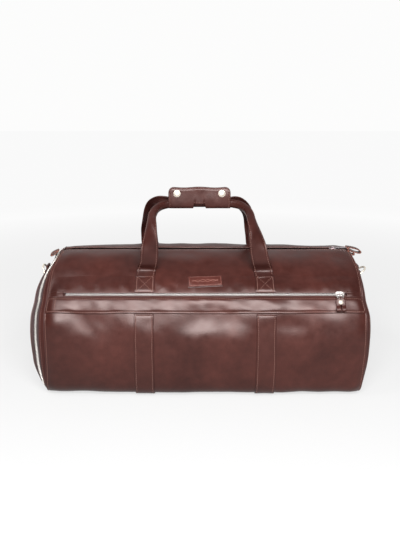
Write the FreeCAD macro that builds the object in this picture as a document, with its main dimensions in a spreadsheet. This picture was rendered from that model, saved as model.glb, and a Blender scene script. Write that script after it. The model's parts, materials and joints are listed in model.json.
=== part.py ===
"""Leather duffel bag: a zipped barrel body with a front pocket, two carry handles held by a snap wrap,
zipped end panels, strap rings and grab loops. Lengths are in millimetres.

Axes: X runs along the bag, from its left end to its right, -Y is the pocket side, +Z is up.
The origin is on the ground under the middle of the body.
The cross-section is an arch standing on slightly bulged sides, rounded corners and a flat base.
"""

import FreeCAD, Part
import math
import os
from FreeCAD import Placement, Rotation, Vector

SIZES = {
    # body
    "shell_length": 566,
    "arch_radius": 150,
    "arch_height": 95,
    "side_radius": 500,
    "corner_radius": 30,
    "base_height": 2.3,
    "leather": 2.0,
    "seam_gap": 0.3,
    "lip_gap": 16,
    "lining_inset": 3.6,
    "lining_thickness": 0.8,
    "board_length": 540,
    "board_width": 215,
    "board_thickness": 3,
    # front pocket
    "pocket_depth": 2.2,
    "pocket_seam": 12,
    "band_low_angle": 24.6,
    "band_top_angle": 34.8,
    "pocket_zip_angle": 37.4,
    "pocket_zip_height": 3.6,
    "pocket_zip_length": 498,
    "pocket_slider_place": 240,
    # straps and handles
    "strap_width": 35,
    "strap_spacing": 222,
    "anchor_low_angle": 40.8,
    "anchor_top_angle": 62,
    "handle_shift": -10,
    "leg_thickness": 2.4,
    "grip_height": 11,
    "grip_thickness": 9,
    "grip_low": 324.5,
    "grip_half_span": 85,
    "grip_drop": 13,
    # snap wrap round the grips
    "wrap_length": 118,
    "wrap_low": 321,
    "wrap_belly": 14,
    "wrap_belly_height": 337,
    "wrap_pinch_height": 345.6,
    "wrap_top": 364,
    "wrap_notch": 20,
    "snap_spacing": 85,
    "snap_height": 353,
    "snap_cap_radius": 6.5,
    "snap_stud_radius": 2.6,
    "snap_socket_radius": 3.2,
    # zips
    "zip_row_width": 2.2,
    "zip_row_height": 2.6,
    "zip_row_gap": 1.6,
    "zip_tape": 0.8,
    "top_zip_height": 241,
    "top_zip_length": 552,
    "top_slider_place": 250,
    "slider_length": 14,
    "slider_width": 10,
    "slider_plate": 1.3,
    "slider_clear": 0.4,
    "slider_web": 0.8,
    "bridge_height": 4,
    "bridge_length": 7,
    "bridge_thickness": 1.6,
    "pin_radius": 0.9,
    "pin_hole_radius": 1.25,
    "pull_length": 27,
    "pull_width": 6.5,
    "pull_thickness": 1.4,
    "puller_width": 17,
    "puller_length": 25,
    "puller_thickness": 4,
    "puller_stud_radius": 4,
    # zipped ends: axial reach and inward drop of the zipped ring round each end panel
    "left_reach": 20,
    "left_drop": 13,
    "left_rise": 8,
    "right_reach": 13,
    "right_drop": 20,
    "right_rise": 5,
    "end_slider_angle": 48,
    # strap rings and grab loops
    "ring_inner_radius": 13,
    "ring_wire": 3.6,
    "left_ring_tilt": 72,
    "right_ring_tilt": 38,
    "ring_height": 197,
    "chape_width": 23,
    "chape_length": 12,
    "loop_width": 18,
    "loop_height": 7,
    # label
    "label_length": 61,
    "label_width": 22,
    "label_angle": 48,
    "label_shift": 4,
}

doc = FreeCAD.newDocument("DuffelBag")
sheet = doc.addObject("Spreadsheet::Sheet", "sizes")
for row, (alias, value) in enumerate(SIZES.items(), start=1):
    sheet.set(f"A{row}", alias)
    sheet.set(f"B{row}", str(value))
    sheet.setAlias(f"B{row}", alias)
doc.recompute()

parts = []


def size(alias):
    """The value that the spreadsheet holds under an alias."""
    return float(sheet.get(alias))


def keep(feature, label):
    """Records a finished sub-part under the name that its file gets."""
    feature.Label = label
    parts.append(feature)
    return feature


# ---------------------------------------------------------------- cross-section of the body


def section():
    """The section's stretches from the top, down the front, along the base and up the back.

    Each is (point function, first value, last value). A value is an angle in degrees on an arc, counted
    from the horizontal, and a Y coordinate on the flat base.
    """
    arch, side, corner = size("arch_radius"), size("side_radius"), size("corner_radius")
    mid, base = size("arch_height"), size("base_height")
    reach = side - corner
    turn = math.degrees(math.asin((mid - base - corner) / reach))
    flat = reach * math.cos(math.radians(turn)) - (side - arch)

    def arch_point(angle, offset):
        a = math.radians(angle)
        return Vector(-(arch + offset) * math.cos(a), mid + (arch + offset) * math.sin(a), 0)

    def side_point(angle, offset):
        a = math.radians(angle)
        return Vector(side - arch - (side + offset) * math.cos(a), mid - (side + offset) * math.sin(a), 0)

    def corner_point(angle, offset):
        a = math.radians(angle)
        radius = corner + offset
        return Vector(-flat - radius * math.cos(a), base + corner - radius * math.sin(a), 0)

    def flat_point(y, offset):
        return Vector(y, base - offset, 0)

    def mirrored(point):
        return lambda value, offset: Vector(-point(value, offset).x, point(value, offset).y, 0)

    return [
        (arch_point, 90, 0),
        (side_point, 0, turn),
        (corner_point, turn, 90),
        (flat_point, -flat, flat),
        (mirrored(corner_point), 90, turn),
        (mirrored(side_point), turn, 0),
        (mirrored(arch_point), 0, 90),
    ]


SECTION = section()
FLAT = SECTION[3][2]
FRONT_ARCH, FRONT_SIDE, FRONT_CORNER, BASE, BACK_CORNER, BACK_SIDE, BACK_ARCH = range(7)


def along(offset, start, stop):
    """Arcs and lines of the section, moved out by offset, from start to stop, each (stretch, value)."""
    edges = []
    for i in range(start[0], stop[0] + 1):
        point, first, last = SECTION[i]
        a = start[1] if i == start[0] else first
        b = stop[1] if i == stop[0] else last
        if i == BASE:
            edges.append(Part.LineSegment(point(a, offset), point(b, offset)))
        else:
            edges.append(Part.Arc(point(a, offset), point((a + b) / 2, offset), point(b, offset)))
    return edges


def strip(start, stop, inner, outer):
    """Closed outline of a band of material that follows the section between two offsets."""
    out, inn = along(outer, start, stop), along(inner, start, stop)
    return [
        *out,
        *inn,
        Part.LineSegment(out[0].StartPoint, inn[0].StartPoint),
        Part.LineSegment(out[-1].EndPoint, inn[-1].EndPoint),
    ]


def outline(offset):
    """The whole closed section, moved out by offset."""
    return along(offset, (FRONT_ARCH, 90), (BACK_ARCH, 90))


def outline_wire(offset, x):
    """The whole section as a wire in the plane at x."""
    wire = Part.Wire([edge.toShape() for edge in outline(offset)])
    wire.Placement = Placement(Vector(x, 0, 0), Rotation(Vector(1, 1, 1), 120))
    return wire


def arch_place(angle, offset, x=0):
    """The point on the front of the arch at an angle above the horizontal."""
    point = SECTION[FRONT_ARCH][0](angle, offset)
    return Vector(x, point.x, point.y)


# ---------------------------------------------------------------- feature helpers


def plane(body, role):
    """One of a body's own origin planes."""
    return next(f for f in body.Origin.OriginFeatures if f.Role == role)


def sketch_on(body, name, role, geometry):
    """A sketch on an origin plane. YZ_Plane has Y across and Z up; XZ_Plane has X across and Z up."""
    sketch = body.newObject("Sketcher::SketchObject", name)
    sketch.AttachmentSupport = (plane(body, role), [""])
    sketch.MapMode = "FlatFace"
    sketch.addGeometry(geometry, False)
    return sketch


def polygon(points):
    """Closed outline of straight lines through (across, up) pairs."""
    vectors = [Vector(a, b, 0) for a, b in points]
    return [Part.LineSegment(p, q) for p, q in zip(vectors, vectors[1:] + vectors[:1])]


def rectangle(low_a, low_b, high_a, high_b):
    return polygon([(low_a, low_b), (high_a, low_b), (high_a, high_b), (low_a, high_b)])


def circle(a, b, radius):
    return [Part.Circle(Vector(a, b, 0), Vector(0, 0, 1), radius)]


def pad(body, sketch, length):
    """A pad on both sides of the sketch, its length bound to the sheet by an expression."""
    feature = body.newObject("PartDesign::Pad", "Pad")
    feature.Profile = sketch
    feature.Midplane = True
    feature.setExpression("Length", length)
    sketch.Visibility = False
    return feature


def pocket(body, sketch, length):
    """A pocket on both sides of the sketch, its length bound to the sheet by an expression."""
    feature = body.newObject("PartDesign::Pocket", "Pocket")
    feature.Profile = sketch
    feature.Midplane = True
    feature.setExpression("Length", length)
    sketch.Visibility = False
    return feature


def padded_body(label, role, geometry, length, place=None, rotation=None):
    """A body made of one pad. place holds expressions for its position, keyed x, y or z."""
    body = doc.addObject("PartDesign::Body", label)
    pad(body, sketch_on(body, label + "_outline", role, geometry), length)
    if rotation is not None:
        body.Placement = Placement(Vector(), rotation)
    for axis, expression in (place or {}).items():
        body.setExpression(f"Placement.Base.{axis}", expression)
    return keep(body, label)


def shape_feature(label, shape, placement=None):
    """A sub-part whose faces only Part's own functions make, such as a loft between two sections."""
    feature = doc.addObject("Part::Feature", label)
    feature.Shape = shape
    if placement is not None:
        feature.Placement = placement
    return keep(feature, label)


# ---------------------------------------------------------------- body panels


def body_panels():
    """Leather front, back and base, the lining and the loose base board."""
    leather, gap = size("leather"), size("seam_gap")
    lip = 90 - math.degrees(math.asin(size("lip_gap") / 2 / size("arch_radius")))
    padded_body("front_panel", "YZ_Plane",
                strip((FRONT_ARCH, lip), (FRONT_CORNER, 90), -leather, 0), "sizes.shell_length")
    padded_body("back_panel", "YZ_Plane",
                strip((BACK_CORNER, 90), (BACK_ARCH, lip), -leather, 0), "sizes.shell_length")
    padded_body("base_panel", "YZ_Plane",
                strip((BASE, -FLAT + gap), (BASE, FLAT - gap), -leather, 0), "sizes.shell_length")

    inset, cloth = size("lining_inset"), size("lining_thickness")
    lining_lip = 90 - math.degrees(math.asin((size("lip_gap") / 2 + 16) / size("arch_radius")))
    padded_body("lining", "YZ_Plane",
                strip((FRONT_ARCH, lining_lip), (BACK_ARCH, lining_lip), -inset - cloth, -inset),
                "sizes.shell_length - 4")

    board = doc.addObject("Part::Box", "base_board")
    board.setExpression("Length", "sizes.board_length")
    board.setExpression("Width", "sizes.board_width")
    board.setExpression("Height", "sizes.board_thickness")
    board.setExpression("Placement.Base.x", "-sizes.board_length / 2")
    board.setExpression("Placement.Base.y", "-sizes.board_width / 2")
    board.setExpression("Placement.Base.z",
                        "sizes.base_height + sizes.lining_inset + sizes.lining_thickness + sizes.seam_gap")
    keep(board, "base_board")


def front_pocket():
    """Pocket panel, a shallow tray that stands off the front panel, and the band over its top edge."""
    leather, gap = size("leather"), size("seam_gap")
    depth, seam = size("pocket_depth") + gap, size("pocket_seam")
    top, low = size("band_top_angle"), 62
    body = doc.addObject("PartDesign::Body", "front_pocket_panel")
    outer = strip((FRONT_ARCH, top), (FRONT_CORNER, low), gap, depth + leather)
    pad(body, sketch_on(body, "pocket_outer", "YZ_Plane", outer), "sizes.shell_length")
    seam_turn = low - math.degrees(seam / size("corner_radius"))
    cavity = strip((FRONT_ARCH, top + 1), (FRONT_CORNER, seam_turn), gap - 1, depth)
    pocket(body, sketch_on(body, "pocket_cavity", "YZ_Plane", cavity),
           "sizes.shell_length - 2 * sizes.pocket_seam")
    keep(body, "front_pocket_panel")

    level = depth + leather + gap
    padded_body("pocket_band", "YZ_Plane",
                strip((FRONT_ARCH, top), (FRONT_ARCH, size("band_low_angle")), level, level + leather),
                "sizes.shell_length")
    for side, sign in (("left", "-"), ("right", "")):
        padded_body(f"front_strap_{side}", "YZ_Plane",
                    strip((FRONT_ARCH, size("band_low_angle") - 0.4), (FRONT_CORNER, 56),
                          level, level + leather),
                    "sizes.strap_width", {"x": f"{sign}sizes.strap_spacing / 2"})


def load_straps():
    """Straps that run under the base and up the back to the back handle's anchors."""
    gap, leather = size("seam_gap"), size("leather")
    for side, sign in (("left", "-"), ("right", "")):
        padded_body(f"back_strap_{side}", "YZ_Plane",
                    strip((FRONT_CORNER, 66), (BACK_ARCH, size("anchor_low_angle") - 0.4),
                          gap, gap + leather),
                    "sizes.strap_width", {"x": f"{sign}sizes.strap_spacing / 2"})


def label_patch():
    """Blank leather label on the front of the arch."""
    half = math.degrees(size("label_width") / 2 / size("arch_radius"))
    angle, gap = size("label_angle"), size("seam_gap")
    padded_body("label_patch", "YZ_Plane",
                strip((FRONT_ARCH, angle + half), (FRONT_ARCH, angle - half), gap, gap + size("leather")),
                "sizes.label_length", {"x": "sizes.label_shift"})


# ---------------------------------------------------------------- handles and snap wrap


def handle_anchors():
    """Sewn ends of each handle, one sub-part for each handle with two solids."""
    gap, leather = size("seam_gap"), size("leather")
    low, top = size("anchor_low_angle"), size("anchor_top_angle")
    stretches = {
        "front": ((FRONT_ARCH, top), (FRONT_ARCH, low)),
        "back": ((BACK_ARCH, low), (BACK_ARCH, top)),
    }
    for name, (start, stop) in stretches.items():
        wire = Part.Wire(Part.__sortEdges__([e.toShape() for e in strip(start, stop, gap, gap + leather)]))
        wire.Placement = Placement(Vector(), Rotation(Vector(1, 1, 1), 120))
        width, spacing = size("strap_width"), size("strap_spacing")
        solids = []
        for x in (-spacing / 2, spacing / 2):
            solid = Part.Face(wire).extrude(Vector(width, 0, 0))
            solid.translate(Vector(x - width / 2, 0, 0))
            solids.append(solid)
        shape_feature(f"{name}_handle_anchors", Part.makeCompound(solids))


def leg_section(centre, direction, width, thickness):
    """A rectangle across a handle leg, its width along X."""
    across = Vector(1, 0, 0)
    normal = direction.cross(across).normalize()
    corners = [
        centre + across * (sx * width / 2) + normal * (sn * thickness / 2)
        for sx, sn in ((-1, -1), (1, -1), (1, 1), (-1, 1))
    ]
    return Part.makePolygon(corners + corners[:1])


def handle_legs():
    """Free legs of both handles: flat straps at the anchors that fold into the narrow grips."""
    foot_angle = size("anchor_top_angle") + 0.9
    foot_offset = size("seam_gap") + size("leg_thickness") / 2 + 0.1
    top_z = size("grip_low") - size("grip_drop") - 0.5
    top_y = -(1.5 + size("grip_thickness") / 2)
    for name, turn in (("front", 1), ("back", -1)):
        for side, sign in (("left", -1), ("right", 1)):
            foot = arch_place(foot_angle, foot_offset, sign * size("strap_spacing") / 2)
            head = Vector(size("handle_shift") + sign * (size("grip_half_span") - 7), top_y, top_z)
            foot.y, head.y = foot.y * turn, head.y * turn
            direction = Vector(0, head.y - foot.y, head.z - foot.z).normalize()
            low = leg_section(foot, direction, size("strap_width"), size("leg_thickness"))
            high = leg_section(head, Vector(0, 0, 1), 14, size("grip_thickness"))
            shape_feature(f"{name}_handle_leg_{side}", Part.makeLoft([low, high], True, True))


def handle_grips():
    """Folded grips, straight inside the wrap and bent down at both ends to meet the legs."""
    low, tall = size("grip_low"), size("grip_height")
    drop, span, bend = size("grip_drop"), size("grip_half_span"), size("wrap_length") / 2 + 2
    bar = [
        (-span, low - drop), (-span + 14, low - drop), (-bend, low), (bend, low), (span - 14, low - drop),
        (span, low - drop), (span - 4, low - drop + 8), (bend, low + tall), (-bend, low + tall),
        (-span + 4, low - drop + 8),
    ]
    for name, sign in (("front", ""), ("back", "-")):
        body = doc.addObject("PartDesign::Body", f"{name}_handle_grip")
        pad(body, sketch_on(body, f"{name}_grip_outline", "XZ_Plane", polygon(bar)), "sizes.grip_thickness")
        body.setExpression("Placement.Base.x", "sizes.handle_shift")
        body.setExpression("Placement.Base.y", f"-1 * {sign}(1.5 + sizes.grip_thickness / 2)")
        keep(body, f"{name}_handle_grip")


def wrap_outline(sign):
    """Section of one half of the wrap: fold at the bottom, belly round a grip, pinch at the top."""
    wall, gap = size("leather"), size("seam_gap")
    low, belly, belly_z = size("wrap_low"), size("wrap_belly"), size("wrap_belly_height")
    pinch, top = size("wrap_pinch_height"), size("wrap_top")
    outer = [(gap, low), (belly - 4, low), (belly, low + 4), (belly, belly_z),
             (gap + wall, pinch), (gap + wall, top)]
    inner = [(gap, top), (gap, pinch - 1), (belly - wall, belly_z - 1), (belly - wall, low + 4.8),
             (belly - 4.8, low + wall), (gap, low + wall)]
    return polygon([(sign * y, z) for y, z in outer + inner])


def snap_wrap():
    """Wrap sewn to the back grip, its front flap, and the two snap fasteners that close it."""
    low, z = size("wrap_low"), size("snap_height")
    half = size("snap_spacing") / 2
    for label, sign, bore in (("wrap_back", 1, "snap_stud_radius"), ("wrap_flap", -1, "snap_socket_radius")):
        body = doc.addObject("PartDesign::Body", label)
        pad(body, sketch_on(body, label + "_outline", "YZ_Plane", wrap_outline(sign)), "sizes.wrap_length")
        cut = rectangle(-30, low - 2, 30, low + 5)
        pocket(body, sketch_on(body, label + "_notch", "YZ_Plane", cut), "sizes.wrap_notch")
        bores = circle(-half, z, size(bore)) + circle(half, z, size(bore))
        pocket(body, sketch_on(body, label + "_bores", "XZ_Plane", bores), "sizes.wrap_belly")
        body.setExpression("Placement.Base.x", "sizes.handle_shift")
        keep(body, label)

    wall, gap = size("leather"), size("seam_gap")
    shift, cap, post = size("handle_shift"), size("snap_cap_radius"), size("snap_stud_radius")
    front = Vector(0, -1, 0)
    caps, studs = [], []
    for x in (shift - half, shift + half):
        disc = Part.makeCylinder(cap, 1.2, Vector(x, -gap - wall, z), front)
        crown = Part.makeCone(cap - 0.6, cap - 3, 1.2, Vector(x, -gap - wall - 1.2, z), front)
        caps.append(disc.fuse(crown).removeSplitter())
        plate = Part.makeCylinder(cap - 1, 1.0, Vector(x, gap + wall + 1.0, z), front)
        pin = Part.makeCylinder(post, gap + wall + 2.0, Vector(x, gap + wall, z), front)
        studs.append(plate.fuse(pin).removeSplitter())
    shape_feature("snap_caps", Part.makeCompound(caps))
    shape_feature("snap_studs", Part.makeCompound(studs))


# ---------------------------------------------------------------- zips


def frame_at(origin, along_axis, up_axis):
    """Placement with local X along a zip and local Z out of its surface."""
    x, z = Vector(along_axis).normalize(), Vector(up_axis).normalize()
    y = z.cross(x)
    matrix = FreeCAD.Matrix(x.x, y.x, z.x, origin.x, x.y, y.y, z.y, origin.y,
                            x.z, y.z, z.z, origin.z, 0, 0, 0, 1)
    return Placement(matrix)


def slider_body(label, placement, bridge_across=False):
    """Zip slider: two plates joined by a thin web between the tooth rows, and a pierced bridge on top.

    The bridge's hole runs across the zip, or along it where bridge_across is true.
    """
    half_l, half_w, web = size("slider_length") / 2, size("slider_width") / 2, size("slider_web") / 2
    inner = size("zip_row_height") / 2 + size("slider_clear")
    outer = inner + size("slider_plate")
    body = doc.addObject("PartDesign::Body", label)
    plan = polygon([
        (-half_l, -half_w + 2), (-half_l + 2, -half_w), (half_l - 4, -half_w), (half_l, -half_w + 1.5),
        (half_l, half_w - 1.5), (half_l - 4, half_w), (-half_l + 2, half_w), (-half_l, half_w - 2),
    ])
    block = pad(body, sketch_on(body, label + "_plan", "XY_Plane", plan), "sizes.slider_length")
    block.setExpression("Length", "sizes.zip_row_height + 2 * sizes.slider_clear + 2 * sizes.slider_plate")
    for name, low, high in (("front", -half_w - 1, -web), ("back", web, half_w + 1)):
        channel = sketch_on(body, f"{label}_{name}_channel", "YZ_Plane", rectangle(low, -inner, high, inner))
        pocket(body, channel, "sizes.slider_length + 2")
    reach, top = size("bridge_length") / 2, outer + size("bridge_height")
    arch = polygon([(-reach, outer - 0.3), (reach, outer - 0.3), (reach - 1.5, top), (-reach + 1.5, top)])
    role = "YZ_Plane" if bridge_across else "XZ_Plane"
    pad(body, sketch_on(body, label + "_bridge", role, arch), "sizes.bridge_thickness")
    hole = circle(0, pivot_height(), size("pin_hole_radius"))
    pocket(body, sketch_on(body, label + "_eye", role, hole), "sizes.bridge_thickness + 2")
    body.Placement = placement
    return keep(body, label)


def pivot_height():
    """Height of the bridge's hole over the middle of the zip."""
    return size("zip_row_height") / 2 + size("slider_clear") + size("slider_plate") + 2.2


def pull_tab(label, placement):
    """Metal pull: a flat tab whose two arms hold a pin through the bridge of its slider."""
    half, length, thick = size("pull_width") / 2, size("pull_length"), size("pull_thickness") / 2
    window = size("bridge_thickness") / 2 + 0.4
    level = pivot_height()
    tab = Part.makeBox(length, 2 * half, 2 * thick, Vector(0, -half, level - thick))
    slot = Part.makeBox(7, 2 * window, 2 * thick + 2, Vector(-1, -window, level - thick - 1))
    eye = Part.makeCylinder(1.4, 2 * thick + 2, Vector(length - 4, 0, level - thick - 1))
    pin = Part.makeCylinder(size("pin_radius"), 2 * half, Vector(0, -half, level), Vector(0, 1, 0))
    return shape_feature(label, tab.cut(slot).cut(eye).fuse(pin).removeSplitter(), placement)


def straight_rows(label, length, middle, across, up, halves=("front", "back")):
    """The two tooth rows of a straight zip, as two solids of one sub-part."""
    gap, width, height = size("zip_row_gap") / 2, size("zip_row_width"), size("zip_row_height") / 2
    solids = []
    for sign in (-1, 1):
        a, b = middle + across * (sign * gap), middle + across * (sign * (gap + width))
        corners = [a - up * height, b - up * height, b + up * height, a + up * height]
        wire = Part.makePolygon([c - Vector(length / 2, 0, 0) for c in corners + corners[:1]])
        solids.append(Part.Face(wire).extrude(Vector(length, 0, 0)))
    return shape_feature(label, Part.makeCompound(solids))


def top_zip():
    """Main zip along the top, with its tapes under the leather lips."""
    level, tape = size("top_zip_height"), size("zip_tape") / 2
    edge = size("zip_row_gap") / 2 + size("zip_row_width")
    straight_rows("top_zip_teeth", size("top_zip_length"), Vector(0, 0, level),
                  Vector(0, 1, 0), Vector(0, 0, 1))
    for name, sign in (("front", -1), ("back", 1)):
        near, far, fall = sign * (edge + 0.1), sign * 21, 2.6
        padded_body(f"top_zip_tape_{name}", "YZ_Plane",
                    polygon([(near, level - tape), (far, level - fall - tape),
                             (far, level - fall + tape), (near, level + tape)]),
                    "sizes.shell_length - 6")
    place = frame_at(Vector(size("top_slider_place"), 0, level), Vector(1, 0, 0), Vector(0, 0, 1))
    slider_body("top_zip_slider", place)
    pull_tab("top_zip_pull", place)


def pocket_zip_frame():
    """Middle of the pocket zip at the slider, with its directions up the arch and out of it."""
    angle, height = size("pocket_zip_angle"), size("pocket_zip_height")
    a = math.radians(angle)
    out, up = Vector(0, -math.cos(a), math.sin(a)), Vector(0, math.sin(a), math.cos(a))
    return arch_place(angle, height), up, out


def pocket_zip():
    """Zip over the front pocket with its leather puller."""
    middle, up, out = pocket_zip_frame()
    edge, tape = size("zip_row_gap") / 2 + size("zip_row_width"), size("zip_tape") / 2
    straight_rows("pocket_zip_teeth", size("pocket_zip_length"), middle, up, out)

    def flat(point):
        return (point.y, point.z)

    top_foot = arch_place(size("anchor_low_angle") - 0.1, size("seam_gap") + tape)
    upper = [middle + up * (edge + 0.1) - out * tape, top_foot - out * tape,
             top_foot + out * tape, middle + up * (edge + 0.1) + out * tape]
    low_foot = arch_place(size("band_top_angle") - 0.6, size("seam_gap") + tape)
    lower = [middle - up * (edge + 0.1) - out * tape, low_foot - out * tape,
             low_foot + out * tape, middle - up * (edge + 0.1) + out * tape]
    padded_body("pocket_zip_tape_upper", "YZ_Plane", polygon([flat(p) for p in upper]),
                "sizes.pocket_zip_length + 10")
    padded_body("pocket_zip_tape_lower", "YZ_Plane", polygon([flat(p) for p in lower]),
                "sizes.pocket_zip_length + 10")

    origin = middle + Vector(size("pocket_slider_place"), 0, 0)
    slider_body("pocket_zip_slider", frame_at(origin, Vector(1, 0, 0), out), bridge_across=True)
    pocket_puller(origin + out * pivot_height(), out)


def pocket_puller(pivot, out):
    """Wire link through the slider's bridge, and the folded leather puller riveted round it."""
    wire, half = size("pin_radius"), 5.0
    lean = math.radians(size("pocket_zip_angle") + 8)
    down = Vector(0, -math.sin(lean), -math.cos(lean))
    side = Vector(1, 0, 0)
    drop = 7.5
    corners = [pivot - side * half, pivot + side * half]
    corners += [corners[1] + down * drop, corners[0] + down * drop]
    sides = [
        Part.makeCylinder(wire, (q - p).Length, p, q - p)
        for p, q in zip(corners, corners[1:] + corners[:1])
    ]
    balls = [Part.makeSphere(wire, corner) for corner in corners]
    link = sides[0].multiFuse(sides[1:] + balls)
    shape_feature("pocket_pull_link", link)

    width, length, thick = size("puller_width"), size("puller_length"), size("puller_thickness")
    hang = math.radians(size("pocket_zip_angle") - 2)
    local = frame_at(pivot + down * drop, Vector(0, -math.sin(hang), -math.cos(hang)),
                     Vector(0, -math.cos(hang), math.sin(hang)))
    tab = Part.makeBox(length - 2.6, width, thick, Vector(2.6, -width / 2, -thick / 2))
    tongue = Part.makeBox(2.6, 7.2, thick, Vector(0, -3.6, -thick / 2))
    head = Part.makeCylinder(thick / 2, 7.2, Vector(0, -3.6, 0), Vector(0, 1, 0))
    bore = Part.makeCylinder(wire + 0.25, width, Vector(0, -width / 2, 0), Vector(0, 1, 0))
    folded = tab.multiFuse([tongue, head]).cut(bore).removeSplitter()
    shape_feature("pocket_puller", folded, local)
    stud = Part.makeCylinder(size("puller_stud_radius"), 1.4, Vector(9, 0, thick / 2 + 0.05))
    stud = stud.fuse(Part.makeCylinder(size("puller_stud_radius") - 1.5, 0.8, Vector(9, 0, thick / 2 + 1.45)))
    shape_feature("puller_stud", stud.removeSplitter(), local)


# ---------------------------------------------------------------- zipped ends


class EndRing:
    """The zipped ring round one end: a cone from the shell's edge to the rim of the end panel."""

    def __init__(self, side):
        self.side = side
        self.sign = -1 if side == "left" else 1
        self.reach, self.drop = size(f"{side}_reach"), size(f"{side}_drop")
        self.slant = math.hypot(self.reach, self.drop)

    def at(self, share, height):
        """(x, offset) at a share of the way out and a height over the cone."""
        x = size("shell_length") / 2 + self.reach * share + self.drop / self.slant * height
        return self.sign * x, -0.5 - self.drop * share + self.reach / self.slant * height

    def ring(self, share_in, share_out, low, high):
        """Solid ring between two shares of the slant and two heights over it, square to the cone."""
        corners = {
            "inner_low": self.at(share_in, low),
            "inner_high": self.at(share_in, high),
            "outer_high": self.at(share_out, high),
            "outer_low": self.at(share_out, low),
        }
        wires = {name: outline_wire(offset, x) for name, (x, offset) in corners.items()}
        outside = [wires["inner_low"], wires["inner_high"], wires["outer_high"]]
        inside = [wires["inner_low"], wires["outer_low"], wires["outer_high"]]
        return Part.makeLoft(outside, True, True).cut(Part.makeLoft(inside, True, True))

    def gusset(self, share_out, thickness):
        """Leather ring next to the shell's edge, with its inner edge upright against the shell."""
        edge = 0.3
        x = self.sign * (size("shell_length") / 2 + edge)
        top = -0.5 - self.drop * edge / self.reach
        start_high = outline_wire(top, x)
        start_low = outline_wire(top - thickness * self.slant / self.reach, x)
        high_x, high = self.at(share_out, 0)
        low_x, low = self.at(share_out, -thickness)
        end_high, end_low = outline_wire(high, high_x), outline_wire(low, low_x)
        outside = Part.makeLoft([start_high, end_high], True, True)
        return outside.cut(Part.makeLoft([start_low, end_low, end_high], True, True))

    def rim(self):
        """(x, offset) of the end panel's rim, just inside the outer tape."""
        x, offset = self.at(0.93, 0)
        return x, offset - 1.2

    def frame(self, angle):
        """Local frame of the zip on the arch: X down the back of the circle, Z out of the cone."""
        x, offset = self.at(0.6, 0)
        a = math.radians(angle)
        radius = size("arch_radius") + offset
        origin = Vector(x, radius * math.cos(a), size("arch_height") + radius * math.sin(a))
        radial = Vector(0, math.cos(a), math.sin(a))
        out = Vector(self.sign * self.drop / self.slant, 0, 0) + radial * (self.reach / self.slant)
        return frame_at(origin, Vector(0, math.sin(a), -math.cos(a)), out)


def zipped_end(side):
    """Gusset, zip, domed end panel, slider and pull of one end."""
    ring = EndRing(side)
    tape, row = size("zip_tape") / 2, size("zip_row_height") / 2
    middle, gap, width = 0.6, size("zip_row_gap") / 2 / ring.slant, size("zip_row_width") / ring.slant
    shape_feature(f"gusset_{side}", ring.gusset(0.36, size("leather")))
    inner_tape = ring.ring(0.37, middle - gap - width - 0.005, -tape, tape)
    outer_tape = ring.ring(middle + gap + width + 0.005, 0.86, -tape, tape)
    shape_feature(f"end_zip_tape_{side}", Part.makeCompound([inner_tape, outer_tape]))
    inner_row = ring.ring(middle - gap - width, middle - gap, -row, row)
    outer_row = ring.ring(middle + gap, middle + gap + width, -row, row)
    shape_feature(f"end_zip_teeth_{side}", Part.makeCompound([inner_row, outer_row]))
    place = ring.frame(size("end_slider_angle"))
    slider_body(f"end_zip_slider_{side}", place)
    pull_tab(f"end_zip_pull_{side}", place)
    end_panel(ring)


def end_panel(ring):
    """Domed leather end panel, a shell with its rim next to the zip's outer tape."""
    rim_x, rim_offset = ring.rim()
    rise, wall = size(f"{ring.side}_rise") * ring.sign, size("leather") * ring.sign
    hub = Vector(0, 0, size("arch_height"))
    stations = [(0, 1.0), (0.65, 0.8), (1.0, 0.45)]

    def dome(shift):
        wires = [outline_wire(rim_offset, rim_x - 2 * wall + shift)]
        for height, scale in stations:
            wire = outline_wire(rim_offset, rim_x + height * rise + shift)
            wire.scale(scale, hub + Vector(rim_x + height * rise + shift, 0, 0))
            wires.append(wire)
        return Part.makeLoft(wires, True, True)

    hollow = dome(-wall)
    shell = dome(0).cut(hollow)
    solid = max(shell.Solids, key=lambda s: s.Volume)
    shape_feature(f"end_panel_{ring.side}", solid)


# ---------------------------------------------------------------- strap rings and loops


def ring_pivot(ring):
    """Middle of a strap ring's bar, just off the end panel."""
    rim_x, _ = ring.rim()
    return Vector(rim_x + ring.sign * (0.65 * size(f"{ring.side}_rise") + 4.9), 0, size("ring_height"))


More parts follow.
